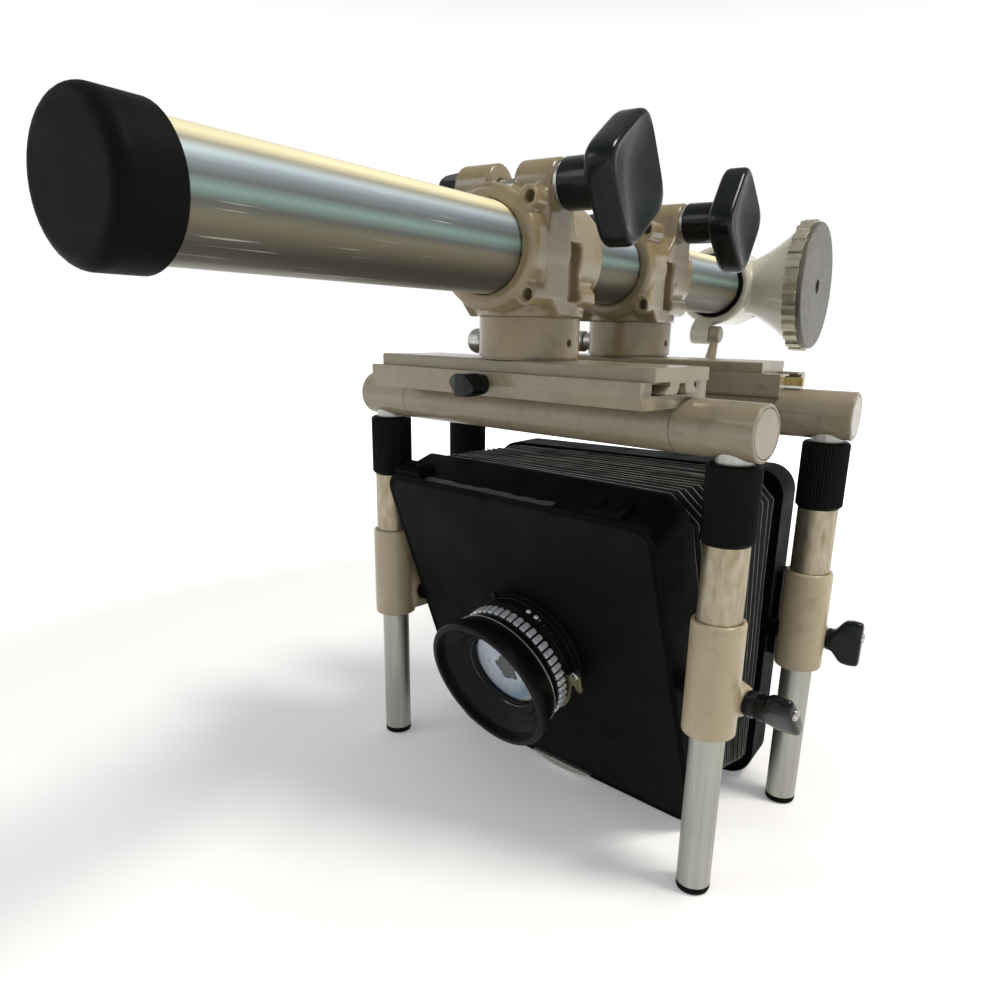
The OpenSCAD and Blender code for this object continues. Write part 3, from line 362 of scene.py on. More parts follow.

# %% [markdown]
# ## Bellows cloth
# The bellows is black leather cloth, rubbed grey where its folds stick out, and
# painted lighter there as well, as the highlight on the lit folds. Each point of
# the mesh says whether it lies on such a fold, and the material reads that as an
# attribute, so the wear and the painted highlight lie exactly on the folds.

# %% Bellows cloth
def cloth(name):
    t = Tree(name)
    grain = t.add("ShaderNodeTexVoronoi", feature="DISTANCE_TO_EDGE")
    grain.inputs["Scale"].default_value = 1300
    t.link(t.where, grain.inputs["Vector"])
    pits = t.ramp(grain.outputs["Distance"], [(0.02, 0.0), (0.22, 1.0)])
    colour = t.ramp(t.noise(45, 5), [(0.3, (0.003, 0.003, 0.0035)), (0.7, (0.007, 0.0075, 0.008))])
    tip = t.add("ShaderNodeAttribute", attribute_name="fold_tip").outputs["Fac"]
    rubbed_and_lit_here = t.ramp(t.noise(60, 5), [(0.36, 0.30), (0.54, 1.0)])
    # Grey on the fold tips: real rubbed wear and a painted highlight of the lit folds.
    worn = t.times(t.ramp(tip, [(0.55, 0.0), (0.95, 1.0)]), rubbed_and_lit_here)
    colour = t.mix(worn, colour, (0.50, 0.49, 0.44))
    t.relief(t.times(pits, t.noise(500, 3)), 0.3, 0.0003)
    return t.set(colour, t.ramp(t.noise(60, 3), [(0.3, 0.34), (0.7, 0.5)]), Specular_IOR_Level=0.3)


CLOTH = cloth("bellows_cloth")

# %% [markdown]
# ## Glass and blades
# Lens and focusing screen are both glass: the first is clear, the second is
# ground, so it is rough and lets less through. The blades of the iris are
# bright, and carry a painted reflection round the lens: blue and amber, for the
# light that its coating throws on them.

# %% Glass and blades
def glass(name, tint, rough, seen_through=1.0):
    t = Tree(name)
    smear = t.ramp(t.noise(70, 3), [(0.4, rough), (0.8, rough + 0.04)])
    return t.set(tint, smear, Transmission_Weight=seen_through, IOR=1.5)


LENS_GLASS = glass("lens_glass", (0.90, 0.95, 1.0), 0.02)
SCREEN_GLASS = glass("screen_glass", (0.86, 0.90, 0.87), 0.45, 0.75)


# Painted reflection: blue and amber light from the lens coating, laid by the angle round the lens.
BLADE_PAINTED_REFLECTION = [
    (0.0, (0.80, 0.80, 0.76)), (0.3, (0.88, 0.92, 0.96)), (0.52, (0.62, 0.66, 0.72)),
    (0.63, (0.22, 0.40, 0.62)), (0.72, (0.30, 0.50, 0.55)), (0.80, (0.85, 0.66, 0.36)),
    (0.90, (0.92, 0.88, 0.78)), (1.0, (0.80, 0.80, 0.76)),
]


def blade_metal():
    t = Tree("blade_steel")
    around = t.add("ShaderNodeAttribute", attribute_name="reflection_angle").outputs["Fac"]
    grain = t.ramp(t.noise(500, 4), [(0.3, (0.7, 0.7, 0.7)), (0.7, (1.0, 1.0, 1.0))])
    colour = t.mix(1.0, t.ramp(around, BLADE_PAINTED_REFLECTION), grain, "MULTIPLY")
    return t.set(colour, t.ramp(t.noise(300, 3), [(0.3, 0.3), (0.7, 0.45)]), Metallic=0.35)


BLADE = blade_metal()


# %% [markdown]
# ## Dressing the solids
# Each solid names a material slot in its record. Most take the finish of that
# slot, and some take one of their own.

# %% Dress the solids
LOOK = {
    "cream_enamel": CREAM, "black_enamel": BLACK, "bare_alloy": ALONG_Z, "steel": STEEL,
    "black_plastic": PLASTIC, "brass": BRASS, "rubber": RUBBER, "bellows_cloth": CLOTH,
    "lens_black": LENS_BLACK, "lens_silver": LENS_SILVER, "lens_glass": LENS_GLASS,
    "screen_glass": SCREEN_GLASS, "olive_brass": OLIVE,
}
SPECIAL = {
    "rail_tube": ALONG_Y, "rail_caps": RUBBER,
    "lens_board": BOARD_BLACK, "front_frame": BLACK, "board_tab": TAB,
    "front_clamp_body": CAST, "rear_clamp_body": CAST, "front_turntable": CAST, "rear_turntable": CAST,
    "front_sleeves": SLEEVE, "rear_sleeves": SLEEVE, "front_lift_tubes": LIFT, "rear_lift_tubes": LIFT,
    "tripod_clamp": CONE, "tripod_ring": KNURL, "tripod_plate": PLATE,
}


def dress(obj, material):
    obj.data.materials.clear()
    obj.data.materials.append(material)


for name, obj in NODES.items():
    look = SPECIAL.get(name) or (COLLAR if name.endswith("collar") else LOOK[SLOT[name]])
    dress(obj, look)
print(len(NODES), "solids dressed")

# %% [markdown]
# ## Making pieces
# A piece is a mesh built from points and placed by a matrix. It rides on a
# body, so that it moves with its joint, and may stand for some of the model's
# solids. Two makers do for most of this object: lathe turns a profile round an
# axis, and loft joins a row of outlines.

# %% Piece makers
def piece(name, points, faces, place, body, material, slot, stands_for=(), smooth=30):
    mesh = bpy.data.meshes.new(name)
    mesh.from_pydata([tuple(place @ Vector(p)) for p in points], [], faces)
    mesh.validate()
    bm = bmesh.new()
    bm.from_mesh(mesh)
    bmesh.ops.recalc_face_normals(bm, faces=bm.faces)
    bm.to_mesh(mesh)
    bm.free()
    obj = bpy.data.objects.new(name, mesh)
    scene.collection.objects.link(obj)
    obj.data.materials.append(material)
    if smooth:
        mesh.shade_smooth()
        mesh.set_sharp_from_angle(angle=math.radians(smooth))
    if body:
        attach(obj, body)
    if stands_for:
        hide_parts(*stands_for)
    return obj


def lathe(profile, steps=96, closed=True):
    """Points and faces of a shape turned about Z; the profile is [radius, height] in millimetres."""
    points, faces = [], []
    for k in range(steps):
        a = 2 * math.pi * k / steps
        points += [(r * math.cos(a) / 1000, r * math.sin(a) / 1000, z / 1000) for r, z in profile]
    n = len(profile)
    for k in range(steps):
        for i in range(n if closed else n - 1):
            a, b = k * n + i, k * n + (i + 1) % n
            c, d = ((k + 1) % steps) * n + (i + 1) % n, ((k + 1) % steps) * n + i
            faces.append((a, d, c, b))
    return points, faces


def joined(*parts):
    points, faces = [], []
    for p, f in parts:
        at = len(points)
        points += list(p)
        faces += [tuple(i + at for i in face) for face in f]
    return points, faces


def moved(part, place):
    return [tuple(place @ Vector(p)) for p in part[0]], part[1]


def loft(rings, caps=True):
    """Joins equal rings of points one after another, and closes both ends."""
    n = len(rings[0])
    points = [p for ring in rings for p in ring]
    faces = [(i * n + k, i * n + (k + 1) % n, (i + 1) * n + (k + 1) % n, (i + 1) * n + k)
             for i in range(len(rings) - 1) for k in range(n)]
    if caps:
        faces += [tuple(range(n - 1, -1, -1)), tuple(range((len(rings) - 1) * n, len(rings) * n))]
    return points, faces


# %% [markdown]
# ## The bellows
# A bellows is cloth over thin stiff cards, folded in and out, with its corners
# cut off so that they fold too. An array of equal pleats couldn't follow the
# slant of the lens frame, so each fold is a ring of points in a plane of its
# own, between those of the lens frame and the back. The bellows crosses ten
# joints, so it is made in ten lengths that meet ring on ring.

# %% Bellows
PLEATS, FOLD_OUT, FOLD_IN, CUT, TALLER = 15, 79.0, 68.0, 12.0, 2.4


def fold_outline(q):
    """A square of half width q with its corners cut off, as points along each side."""
    corner = [(q - CUT, -q), (q, -q + CUT), (q, q - CUT), (q - CUT, q),
              (-q + CUT, q), (-q, q - CUT), (-q, -q + CUT), (-q + CUT, -q)]
    out = []
    for k in range(8):
        (ax, az), (bx, bz) = corner[k], corner[(k + 1) % 8]
        steps = 10 if k % 2 else 3
        out += [(ax + (bx - ax) * s / steps, az + (bz - az) * s / steps) for s in range(steps)]
    return out


FRONT_END, REAR_END = 0.0189, -0.0049
BOARD_MIDDLE, BACK_MIDDLE = 4.3, 84.1


def fold_ring(t, q):
    """The fold at t, 0 at the lens frame and 1 at the back, in a plane between theirs."""
    ring = []
    for x, z in fold_outline(q):
        z *= 1 + TALLER / FOLD_OUT
        front = BOARD @ Vector((x / 1000, FRONT_END, (z - BOARD_MIDDLE) / 1000))
        rear = BACK @ Vector((x / 1000, REAR_END, (z + BACK_MIDDLE) / 1000))
        ring.append(front.lerp(rear, t))
    return ring


def wavy(ring, amount, seed):
    """Pushes a ring a little in and out, since no fold of a used bellows is straight."""
    out = []
    middle = sum(ring, Vector()) / len(ring)
    for p in ring:
        n = noise.noise(Vector((p.x * 22 + seed, p.z * 22, seed * 1.7)))
        out.append(p + (p - middle).normalized() * n * amount)
    return out


ROUNDED_TIP = ((-0.16, 0.5), (0.0, 0.0), (0.16, 0.5))


def bellows_rings():
    """One ring for each inner fold, and three for each outer fold, which is rounded."""
    rings, total = [], 2 * PLEATS
    for i in range(total + 1):
        t = i / total
        if i % 2:
            rings.append([wavy(fold_ring(t + d / total, FOLD_OUT - c), 0.0007, i) for d, c in ROUNDED_TIP])
        else:
            rings.append([fold_ring(t, FOLD_IN)])
    return rings


def facing(ring):
    """The direction that a ring's plane looks in."""
    c = sum(ring, Vector()) / len(ring)
    return (ring[0] - c).cross(ring[len(ring) // 4] - c).normalized()


# %% [markdown]
# ## The bellows in lengths
# Each length has one or two pleats.

# %% Bellows lengths
SHARE = [2, 1, 1, 2, 2, 1, 1, 1, 2, 2]
folds = bellows_rings()
at = 0
for k, pleat_count in enumerate(SHARE):
    first, last = at, at + 2 * pleat_count
    at = last
    groups = folds[first:last + 1]
    rings = [ring for group in groups for ring in group]
    points, faces = loft(rings, caps=False)
    part = piece(f"bellows_{k + 1}", points, faces, Matrix.Identity(4), None, CLOTH, None, smooth=40)
    tips = [float(len(group) == 3 and j == 1)
            for group in groups for j, ring in enumerate(group) for _ in ring]
    part.data.attributes.new("fold_tip", "FLOAT", "POINT").data.foreach_set("value", tips)
    d = (facing(rings[0]) + facing(rings[-1])).normalized()
    if d.y < 0:
        d = -d
    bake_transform(part)
    if k == 0:
        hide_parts("bellows")
print("bellows:", sum(SHARE), "pleats in", len(SHARE), "lengths")

# %% [markdown]
# ## Castings
# The clamps, the tripod clamp and the sleeves are sand castings, and their
# enamel rounds them further. The solids have sharp corners, and a bevel fails
# where so many curves meet. So each solid is copied, cut into small voxels and
# smoothed, which rounds every corner alike.

# %% Castings
def cast_copy(node, body, voxel, passes, material=CAST):
    """A rounded copy of a solid, with voxels of this size in metres and so many passes of smoothing."""
    obj = NODES[node].copy()
    obj.data = NODES[node].data.copy()
    obj.name = obj.data.name = "cast_" + node
    scene.collection.objects.link(obj)
    obj.parent = None
    obj.matrix_world = Matrix.Identity(4)
    for m in list(obj.modifiers):
        obj.modifiers.remove(m)
    remesh = obj.modifiers.new("voxels", "REMESH")
    remesh.mode, remesh.voxel_size = "VOXEL", voxel
    soft = obj.modifiers.new("soft", "SMOOTH")
    soft.factor, soft.iterations = 0.5, passes
    bpy.context.view_layer.update()
    done = bpy.data.meshes.new_from_object(obj.evaluated_get(bpy.context.evaluated_depsgraph_get()))
    obj.modifiers.clear()
    obj.data = done
    dress(obj, material)
    done.shade_smooth()
    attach(obj, body)
    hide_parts(node)
    print(obj.name, len(done.polygons), "faces")
    return obj


cast_copy("front_clamp_body", "front_clamp", 0.0007, 6)
cast_copy("rear_clamp_body", "rear_clamp", 0.0007, 6)
cast_copy("tripod_clamp", "tripod_head", 0.0008, 5, CONE)
cast_copy("front_sleeves", "front_carriage", 0.0007, 4, SLEEVE)
cast_copy("rear_sleeves", "rear_carriage", 0.0007, 4, SLEEVE)

# %% [markdown]
# ## Wing knobs
# Each clamp knob is moulded in one: a round hub with a square wing, dished for
# the thumb. The wing is a stack of rounded squares. The last ones sink towards
# the middle for the dish, and turn from squares to circles on the way, so that
# the gloss runs in one soft curve.

# %% Wing knobs
def rounded_square(half, x, power=5.0, steps=96):
    """A circle at power 2, and squarer as the power grows."""
    ring = []
    for k in range(steps):
        a = 2 * math.pi * (k + 0.5) / steps
        c, s = math.cos(a), math.sin(a)
        r = half / (abs(c) ** power + abs(s) ** power) ** (1 / power)
        ring.append((x / 1000, r * c / 1000, r * s / 1000))
    return ring


HUB_X, WING_X, WING_THICK, WING_HALF, DISH_DEEP = 23.6, 40.6, 12.0, 18.5, 4.2
STUD_UP = 22.4
WING_BACK = ((0, 4.5), (0.15, 2.6), (0.7, 1.2), (1.6, 0.35), (3.0, 0))
WING_FRONT = ((-2.4, 0), (-1.2, 0.25), (-0.45, 0.8), (-0.05, 1.7))
DISH = (0.86, 0.8, 0.72, 0.62, 0.5, 0.36, 0.2, 0.06)
HUB = [(0.01, 0), (8.4, 0), (8.9, 0.3), (9.15, 0.9), (9.15, 14), (9.6, 16.2), (10.6, 17.6), (0.01, 17.6)]


def wing_knob(name, node, place, stud_y, angle):
    edge = WING_BACK + tuple((WING_THICK + x, inset) for x, inset in WING_FRONT)
    rings = [rounded_square(WING_HALF - inset, WING_X + x) for x, inset in edge]
    for q in DISH:
        sunk = DISH_DEEP * (1 - (q / 0.9) ** 2)
        rings.append(rounded_square(WING_HALF * q, WING_X + WING_THICK - sunk, 2 + 3 * q ** 3))
    wing = moved(loft(rings), turn(angle + 45, "X"))
    hub = moved(lathe(HUB), mm(HUB_X, 0, 0) @ turn(90, "Y"))
    place = place @ mm(0, stud_y, STUD_UP)
    return piece(name, *joined(wing, hub), place, node, PLASTIC, "black_plastic", (node,), 35)


wing_knob("front_wing_knob", "front_clamp_knob", FRONT_CLAMP, -13.9, -10)
wing_knob("rear_wing_knob", "rear_clamp_knob", REAR_CLAMP, 9.2, 8)
print("two wings of", len(WING_BACK + WING_FRONT) + len(DISH), "rings each")

# %% [markdown]
# ## Tilt knobs
# A round, waisted hub carries a flat wing that widens outwards, with a steel
# screw in its end face. The wing is lofted from ten outlines, each given by
# where it stands and its two half widths.

# %% Tilt knobs
def oblong(half_y, half_z, x, power=3.6, steps=64):
    """A rounded oblong, which is a rounded square pulled to two half widths."""
    ring = []
    for k in range(steps):
        a = 2 * math.pi * (k + 0.5) / steps
        c, s = math.cos(a), math.sin(a)
        r = 1 / (abs(c) ** power + abs(s) ** power) ** (1 / power)
        ring.append((x / 1000, half_y * r * c / 1000, half_z * r * s / 1000))
    return ring


TILT_HUB_X = 109.9
TILT_STATIONS = [(-2.0, 4.6, 5.0), (-0.6, 4.6, 5.6), (1.0, 4.3, 7.6), (2.6, 4.0, 9.8), (4.2, 3.8, 10.9),
                 (7.0, 3.6, 11.3), (9.6, 3.5, 11.2), (10.9, 3.3, 10.9), (11.6, 2.8, 10.3), (11.9, 1.8, 9.2)]
SCREW = [(0.01, 0.1), (0.9, 0.1), (1.1, 0.75), (2.0, 0.95), (2.3, 0.6), (2.4, -0.6), (0.01, -0.6)]


def tilt_knob(where, place, wing_x, angle):
    node = f"{where}_tilt_knob"
    wing = moved(loft([oblong(y, z, wing_x + x) for x, y, z in TILT_STATIONS]), turn(angle, "X"))
    length = wing_x - TILT_HUB_X
    hub = lathe([(0.01, 0), (4.8, 0), (5.3, 0.4), (5.5, 1.0), (5.5, length * 0.4), (5.1, length * 0.46),
                 (5.1, length * 0.54), (5.5, length * 0.6), (5.4, length), (0.01, length)], 48)
    hub = moved(hub, mm(TILT_HUB_X, 0, 0) @ turn(90, "Y"))
    piece(f"{where}_tilt_wing", *joined(wing, hub), place, node, PLASTIC, "black_plastic", (node,), 40)
    place = place @ turn(angle, "X") @ mm(wing_x + 11.8, 0, 3.6) @ turn(90, "Y")
    piece(f"{where}_tilt_screw", *lathe(SCREW, 32), place, node, STEEL, "steel", (), 30)


tilt_knob("front", FRONT_LEGS @ mm(0, TILT_BACK, TILT_UP), 119.0, 40)
tilt_knob("rear", BACK @ mm(0, 0, TILT_UP), 114.0, 0)
print("tilt knobs stand at", TILT_UP, "mm")

# %% [markdown]
# ## The grey strip
# The front of the lens frame's top is grey. Noise alone
# would scatter such a mark, and it lies in one place, so it is a thin skin of
# its own on top of the frame, with a wavy rear edge.

# %% Rubbed strip
STEPS, UNDER, OVER = 24, 0.0782, 0.07855
strip = []
for k in range(STEPS + 1):
    x, wave = (-50 + 80 * k / STEPS) / 1000, 0.0004 * math.sin(k * 1.7) + 0.0003 * math.sin(k * 0.6)
    front, rear = -0.0061 + 0.0008 * (k in (0, STEPS)), -0.0030 + wave
    strip.append([(x, front, UNDER), (x, rear, UNDER), (x, rear - 0.0001, OVER), (x, front, OVER)])
# A grey skin along the front of the frame's top.
piece("frame_top_strip", *loft(strip), BOARD, "lens_standard", GREY_STRIP, "black_enamel", (), 30)
print("strip of", STEPS, "steps")

# %% [markdown]
# ## The lens
# The barrel and rings of a lens are turned, so each is a profile of radius and
# height spun round the axis. Heights run forward from the lens board. The
# profiles have finer steps than the plain solids, so that more edges catch the
# light, and they add the grooves of the filter thread.

# %% Lens barrel
def ring_steps(low, high, radius, depth, pitch):
    """Small grooves cut round a straight wall, as [radius, height] from low to high."""
    out, z = [], low
    while z + pitch <= high:
        out += [(radius, z), (radius, z + pitch * 0.5),
                (radius + depth, z + pitch * 0.55), (radius + depth, z + pitch * 0.95)]
        z += pitch
    return out


def lens_piece(name, profile, steps, body, material, slot, stands_for, smooth):
    return piece(name, *lathe(profile, steps), LENS, body, material, slot, stands_for, smooth)


ROUND = 128
drum = [(20.5, -8.6), (20.8, -8.6), (20.8, 0), (28.9, 0), (29.6, 0.6), (29.6, 2.6), (29.3, 2.9), (29.6, 3.2),
        (29.6, 4.4), (26, 4.4), (26, 6.2), (29.6, 6.2), (29.6, 10.4), (29.2, 11.0), (26, 11.0), (26, 20.1),
        (28.6, 20.1), (28.6, 21.2), (27.9, 21.4), (27.9, 22.3), (27.4, 22.8), (20.5, 22.8)]
lens_piece("shutter_drum", drum, ROUND, "lens_standard", LENS_BLACK, "lens_black", ("shutter_body",), 25)

outside = [(18.3, 22.8), (30.4, 22.8), (31.2, 23.1), (31.3, 23.9), (30.9, 24.3), (31.1, 25.0), (33.4, 30.4),
           (34.1, 31.8), (34.2, 32.6), (34.2, 35.7), (33.9, 36.3), (33.3, 36.5), (31.5, 36.5)]
thread = ring_steps(32.6, 36.0, 31.05, 0.35, 0.56)
funnel = [(31.0, 32.5), (30.4, 32.3), (29.6, 32.2), (25.5, 29.2), (24.9, 29.1), (22.4, 27.1), (21.5, 26.9),
          (20.3, 26.0), (19.55, 25.8), (19.55, 23.8), (18.3, 23.8)]
barrel = outside + thread[::-1] + funnel
lens_piece("front_barrel", barrel, ROUND, "lens_standard", LENS_BLACK, "lens_black", ("lens_front_cell",), 25)
edge = [(30.9, 23.15), (31.38, 23.3), (31.42, 23.75), (31.0, 23.95)]
lens_piece("rear_edge_ring", edge, ROUND, "lens_standard", TAB, "lens_silver", (), 30)
print("barrel turned from", len(barrel), "points, with", len(thread) // 4, "grooves")

# %% [markdown]
# ## Speed ring and marks
# The speed ring is gripped by 48 small pads, bright where the black has worn
# off. A pad is a block wrapped round the lens, worked out at its own angle. The
# marks on the drum are plain dots, and ticks made the way the pads are.

# %% Speed ring and marks
ring = [(26.06, 13.2), (29.2, 13.2), (29.8, 13.6), (29.8, 19.5), (29.2, 20.0), (26.06, 20.0)]
lens_piece("speed_ring_base", ring, ROUND, "speed_ring", LENS_BLACK, "lens_black", ("speed_ring",), 25)


def pad(angle, half_turn, low, high, inner, outer, steps=4):
    """A rounded block wrapped round the lens, with its edges drawn in."""
    rings = []
    for k in range(steps + 1):
        a = math.radians(angle + half_turn * (2 * k / steps - 1))
        soft = 0.5 if k in (0, steps) else 0.0
        ring = [(inner, low), (inner, high), (outer - soft, high - 0.3 - soft * 0.4),
                (outer - soft * 0.6, high - 0.7), (outer - soft * 0.6, low + 0.7),
                (outer - soft, low + 0.3 + soft * 0.4)]
        rings.append([(q * math.cos(a) / 1000, q * math.sin(a) / 1000, z / 1000) for q, z in ring])
    return loft(rings)


PADS = 48
pads = [pad(360 * k / PADS, 2.7, 14.0, 19.3, 29.5, 30.75) for k in range(PADS)]
piece("speed_ring_pads", *joined(*pads), LENS, "speed_ring", LENS_SILVER, "lens_silver", (), 25)

DOT = [(0.01, 0), (1.15, 0), (1.2, 0.1), (1.0, 0.18), (0.01, 0.2)]
marks = []
for angle in (69.4, 60.6):
    marks.append(moved(lathe(DOT, 24), turn(angle, "Z") @ mm(29.55, 0, 8.3) @ turn(90, "Y")))
marks.append(pad(56.0, 0.55, 7.2, 9.6, 29.3, 29.75, 2))
for k in range(7):
    marks.append(pad(50.5 - 3.0 * k, 0.22, 7.9, 8.9 + 0.6 * (k % 3 == 0), 29.3, 29.72, 2))
piece("drum_marks", *joined(*marks), LENS, "lens_standard", WHITE, "lens_silver", (), 30)
print(PADS, "pads and", len(marks), "marks")

# %% [markdown]
# ## Levers of the shutter
# Aperture and cocking lever are flat rings in grooves of the drum, each with a
# finger tab. The tab is a waisted outline with its edges drawn in.

# %% Levers
TAB_ROOT = 29.0


def finger_tab(reach, half, low, high):
    outline = [(-1.0, half * 0.62), (1.5, half * 0.5), (reach - 33.5, half * 0.42), (reach - 31.8, half),
               (reach - 30.4, half * 1.02), (reach - 29.6, half * 0.72), (reach - 29.9, half * 0.25)]
    outline += [(x, -y) for x, y in outline[::-1]]
    rings = []
    for inset, z in ((0.25, low), (0.0, low + 0.25), (0.0, high - 0.25), (0.25, high)):
        rings.append([((TAB_ROOT + x - inset) / 1000, y * (1 - inset / half) / 1000, z / 1000)
                      for x, y in outline])
    return loft(rings)


def lever(name, node, span, tab_angle, reach, half, material, slot, arc=None):
    """A flat ring in a groove, with a finger tab and, for an arc of two angles, a raised band."""
    low, high = span
    flat = [(26.06, low), (29.7, low), (29.9, low + 0.3), (29.9, high - 0.3), (29.7, high), (26.06, high)]
    lens_piece(name, flat, ROUND, node, LENS_BLACK, "lens_black", (node,), 30)
    parts = [moved(finger_tab(reach, half, low, high), turn(tab_angle, "Z"))]
    if arc:
        parts.append(pad((arc[0] + arc[1]) / 2, (arc[1] - arc[0]) / 2, low + 0.1, high - 0.1, 29.4, 31.6, 16))
    piece(name + "_tab", *joined(*parts), LENS, node, material, slot, (), 30)


lever("aperture_ring", "aperture_lever", (11.12, 12.78), -4, 38.4, 5.0, OLIVE, "olive_brass", (-46, -8))
lever("cocking_ring", "cocking_lever", (4.52, 6.08), 118, 34.0, 2.0, LENS_BLACK, "lens_black")
BOLT = [(0.01, -1.9), (1.1, -1.9), (1.2, -1.4), (1.2, 1.2), (2.0, 1.3), (2.15, 1.7),
        (1.8, 2.3), (1.1, 2.5), (0.01, 2.55)]
bolt_place = LENS @ turn(5.5, "Z") @ mm(36.6, 0, 12.5)
piece("aperture_bolt", *lathe(BOLT, 32), bolt_place, "aperture_lever", STEEL, "steel", (), 30)
print("two levers and a bolt")

# %% [markdown]
# ## Iris and front glass
# Behind the front glass stand five curved blades, which leave a five-sided
# hole over a black disc: painted shade for the dark inside of the lens. Each
# blade carries its angle round the lens, which its material turns into a painted
# reflection of blue and amber light at its edge. The glass is a thin dome.

# %% Iris and front glass
BLADES, RIM, HOLE, BLADE_LIFT, BLADE_THICK, SWEEP = 5, 19.2, 7.6, 0.12, 0.2, 34


def around_lens(radius, angle, height):
    return radius * math.cos(angle) / 1000, radius * math.sin(angle) / 1000, height / 1000


def blade(k):
    """One curved blade from the rim to the five-sided opening."""
    rings, turn_each = [], 360 / BLADES
    for j in range(9):
        f = j / 8
        a = turn_each * (k + f)
        off_middle = math.radians(turn_each * f - turn_each / 2)
        side = HOLE * math.cos(math.radians(turn_each / 2)) / math.cos(off_middle)
        side *= 1 + 0.10 * math.sin(math.pi * f * 2)
        ia, oa = math.radians(a), math.radians(a + SWEEP)
        inner, outer = 21.0 + BLADE_LIFT * k, 21.5 + BLADE_LIFT * k
        rings.append([around_lens(side, ia, inner), around_lens(RIM, oa, outer),
                      around_lens(RIM, oa, outer - BLADE_THICK), around_lens(side, ia, inner - BLADE_THICK)])
    return loft(rings)


blades = joined(*[moved(blade(k), turn(20, "Z")) for k in range(BLADES)])
part = piece("iris_blades", *blades, LENS, "lens_standard", BLADE, "lens_silver", ("iris",), 30)
# Each blade point keeps its angle round the lens, which places the painted reflection.
reflection_angle = []
for v in part.data.vertices:
    q = LENS.inverted() @ v.co
    around = (math.degrees(math.atan2(q.y, q.x)) % 360) / 360
    reflection_angle.append(around if math.hypot(q.x, q.y) > 0.012 else 0.25)
part.data.attributes.new("reflection_angle", "FLOAT", "POINT").data.foreach_set("value", reflection_angle)
# Painted shade: a black disc behind the opening stands for the dark inside of the lens.
shade_disc_profile = [(0.01, 19.0), (9.5, 19.0), (9.6, 19.1), (9.6, 19.5), (0.01, 19.4)]
lens_piece("painted_shade_disc", shade_disc_profile, 48, "lens_standard", LENS_BLACK, "lens_black", (), 30)


def dome_wall(radius, height, reach, steps):
    """Part of a ball of this radius from the middle out to reach, where it is at height."""
    fall = math.sqrt(radius ** 2 - reach ** 2)
    out = []
    for k in range(steps + 1):
        across = reach * k / steps
        out.append((max(across, 0.01), height + math.sqrt(radius ** 2 - across ** 2) - fall))
    return out


dome = dome_wall(52, 25.3, 19.45, 10) + dome_wall(51.5, 24.9, 19.3, 10)[::-1]
lens_piece("front_lens_glass", dome, 96, "lens_standard", LENS_GLASS, "lens_glass", ("front_glass",), 40)
print(BLADES, "blades behind a dome of", len(dome), "points")

# %% [markdown]
# ## Floor, background and lamps
# A pale floor keeps the shadow and fades to white with distance: its glow is
# seen by the camera, by mirrors and through glass, and doesn't light dull
# surfaces. The world is white round the horizon and darker overhead, so round
# metal shows bands.

# %% Floor
NEAR_GLOW, FLOOR_HALF = 0.16, 6.0


def floor_material():
    t = Tree("floor")
    rays = t.add("ShaderNodeLightPath")
    glow = t.add("ShaderNodeEmission")
    glow.inputs["Color"].default_value = (1, 1, 1, 1)
    see = t.times(rays.outputs["Is Camera Ray"], rays.outputs["Is Glossy Ray"], "MAXIMUM")
    see = t.times(see, rays.outputs["Is Transmission Ray"], "MAXIMUM")
    away = t.add("ShaderNodeVectorMath", operation="LENGTH")
    t.link(t.where, away.inputs[0])
    far = t.ramp(away.outputs["Value"], [(0.42, 0.0), (0.95, 1.0)])
    strength = t.times(t.times(far, 1 - NEAR_GLOW), NEAR_GLOW, "ADD")
    t.link(t.times(see, strength), glow.inputs["Strength"])
    paper = t.ramp(t.noise(2, 3), [(0.3, (0.84, 0.84, 0.84)), (0.7, (0.87, 0.87, 0.87))])
    t.set(paper, 0.9, Specular_IOR_Level=0.0)
    add = t.add("ShaderNodeAddShader")
    t.link(t.shader.outputs[0], add.inputs[0])
    t.link(glow.outputs[0], add.inputs[1])
    t.link(add.outputs[0], t.nodes["Material Output"].inputs["Surface"])
    return t.material


corners = [(x * FLOOR_HALF, y * FLOOR_HALF, 0) for x, y in ((-1, -1), (1, -1), (1, 1), (-1, 1))]
floor = piece("floor", corners, [(0, 1, 2, 3)], Matrix.Identity(4), None, floor_material(), None, smooth=0)
print("floor of", 2 * FLOOR_HALF, "m")

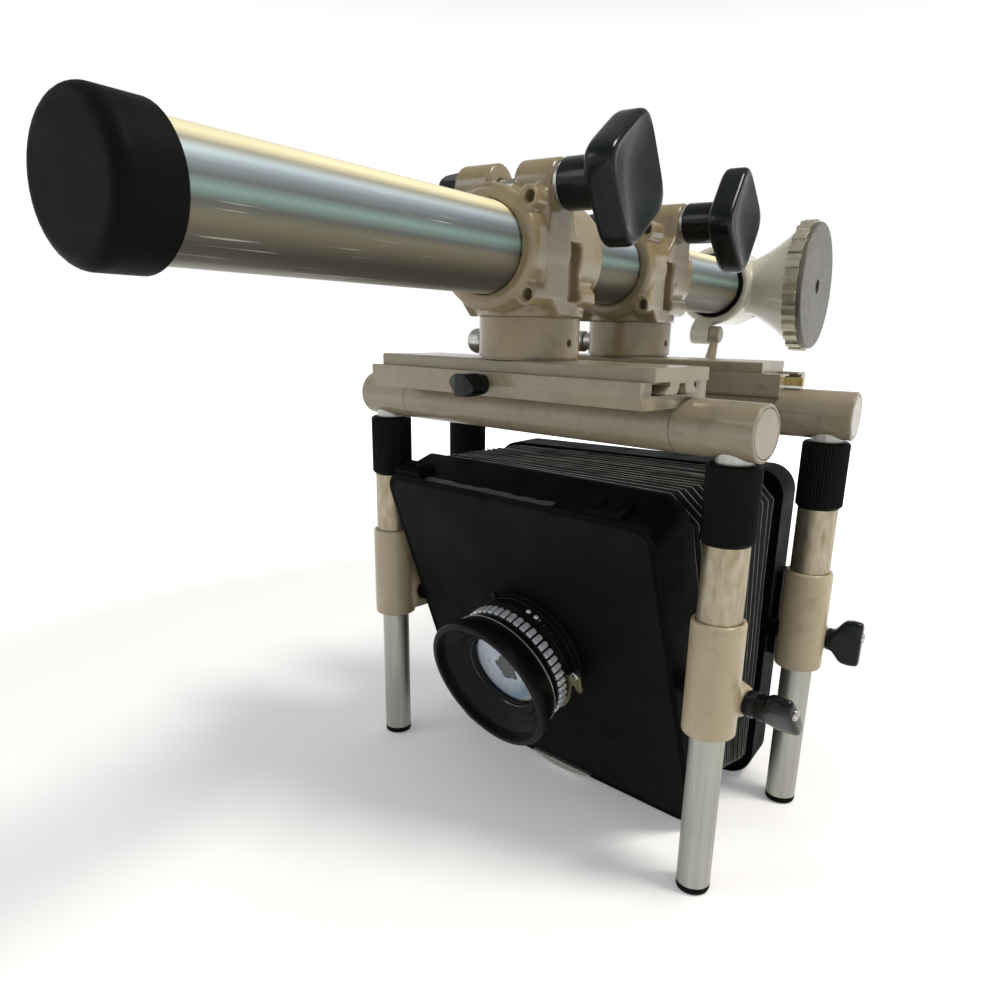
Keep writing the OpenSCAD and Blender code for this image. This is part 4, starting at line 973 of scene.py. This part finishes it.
# %% Background
world = bpy.data.worlds.new("studio")
scene.world = world
world.use_nodes = True
wn, wl = world.node_tree.nodes, world.node_tree.links
back = wn["Background"]
where = wn.new("ShaderNodeTexCoord")
split = wn.new("ShaderNodeSeparateXYZ")
wl.new(where.outputs["Generated"], split.inputs[0])
shade = wn.new("ShaderNodeValToRGB")
stops = [(0.0, 1.0), (0.30, 1.0), (0.46, 0.50), (0.80, 0.32), (1.0, 0.55)]
while len(shade.color_ramp.elements) < len(stops):
    shade.color_ramp.elements.new(0.5)
for e, (at, tone) in zip(shade.color_ramp.elements, stops):
    e.position, e.color = at, (tone, tone, tone * 1.01, 1)
wl.new(split.outputs["Z"], shade.inputs[0])
wl.new(shade.outputs[0], back.inputs["Color"])
back.inputs["Strength"].default_value = 1.0
print("world of", len(stops), "tones from below to above")

# %% [markdown]
# ## Lamps
# One warm lamp stands high on the right, which puts the shadows where the
# picture has them. A weak cool one lifts the near side.

# %% Lamps
def lamp(name, at, to, size, power, colour=(1, 1, 1)):
    data = bpy.data.lights.new(name, "AREA")
    data.shape, data.size, data.energy, data.color = "DISK", size, power, colour
    obj = bpy.data.objects.new(name, data)
    obj.location = at
    obj.rotation_euler = (Vector(to) - Vector(at)).to_track_quat("-Z", "Y").to_euler()
    scene.collection.objects.link(obj)
    return obj


lamp("key", (0.74, 0.14, 1.46), (0, 0, 0.12), 0.42, 17.5, (1.0, 0.96, 0.88))
lamp("side", (-0.9, -0.9, 0.9), (0, 0, 0.15), 0.5, 2, (0.93, 0.97, 1.0))
print("two lamps")

# %% [markdown]
# ## Viewpoint
# The lens of the picture was worked out from straight edges and circles of
# known shape: its place, turn, focal length and small shift.

# %% Viewpoint
camera = bpy.data.objects.new("camera", bpy.data.cameras.new("camera"))
scene.collection.objects.link(camera)
turned = Vector((1.802346, 0.545195, -0.372910))
seen_from = Matrix.Rotation(turned.length, 3, turned.normalized())
flip = Matrix(((1, 0, 0), (0, -1, 0), (0, 0, -1)))
camera.matrix_world = MIDDLE @ mm(187.289, -304.789, 227.708) @ (seen_from.transposed() @ flip).to_4x4()
camera.data.sensor_width = 36
camera.data.lens = 28.633
camera.data.shift_x = -0.01807
camera.data.shift_y = 0.07237
camera.data.clip_start = 0.01
scene.camera = camera
print("camera with a lens of", camera.data.lens, "mm")
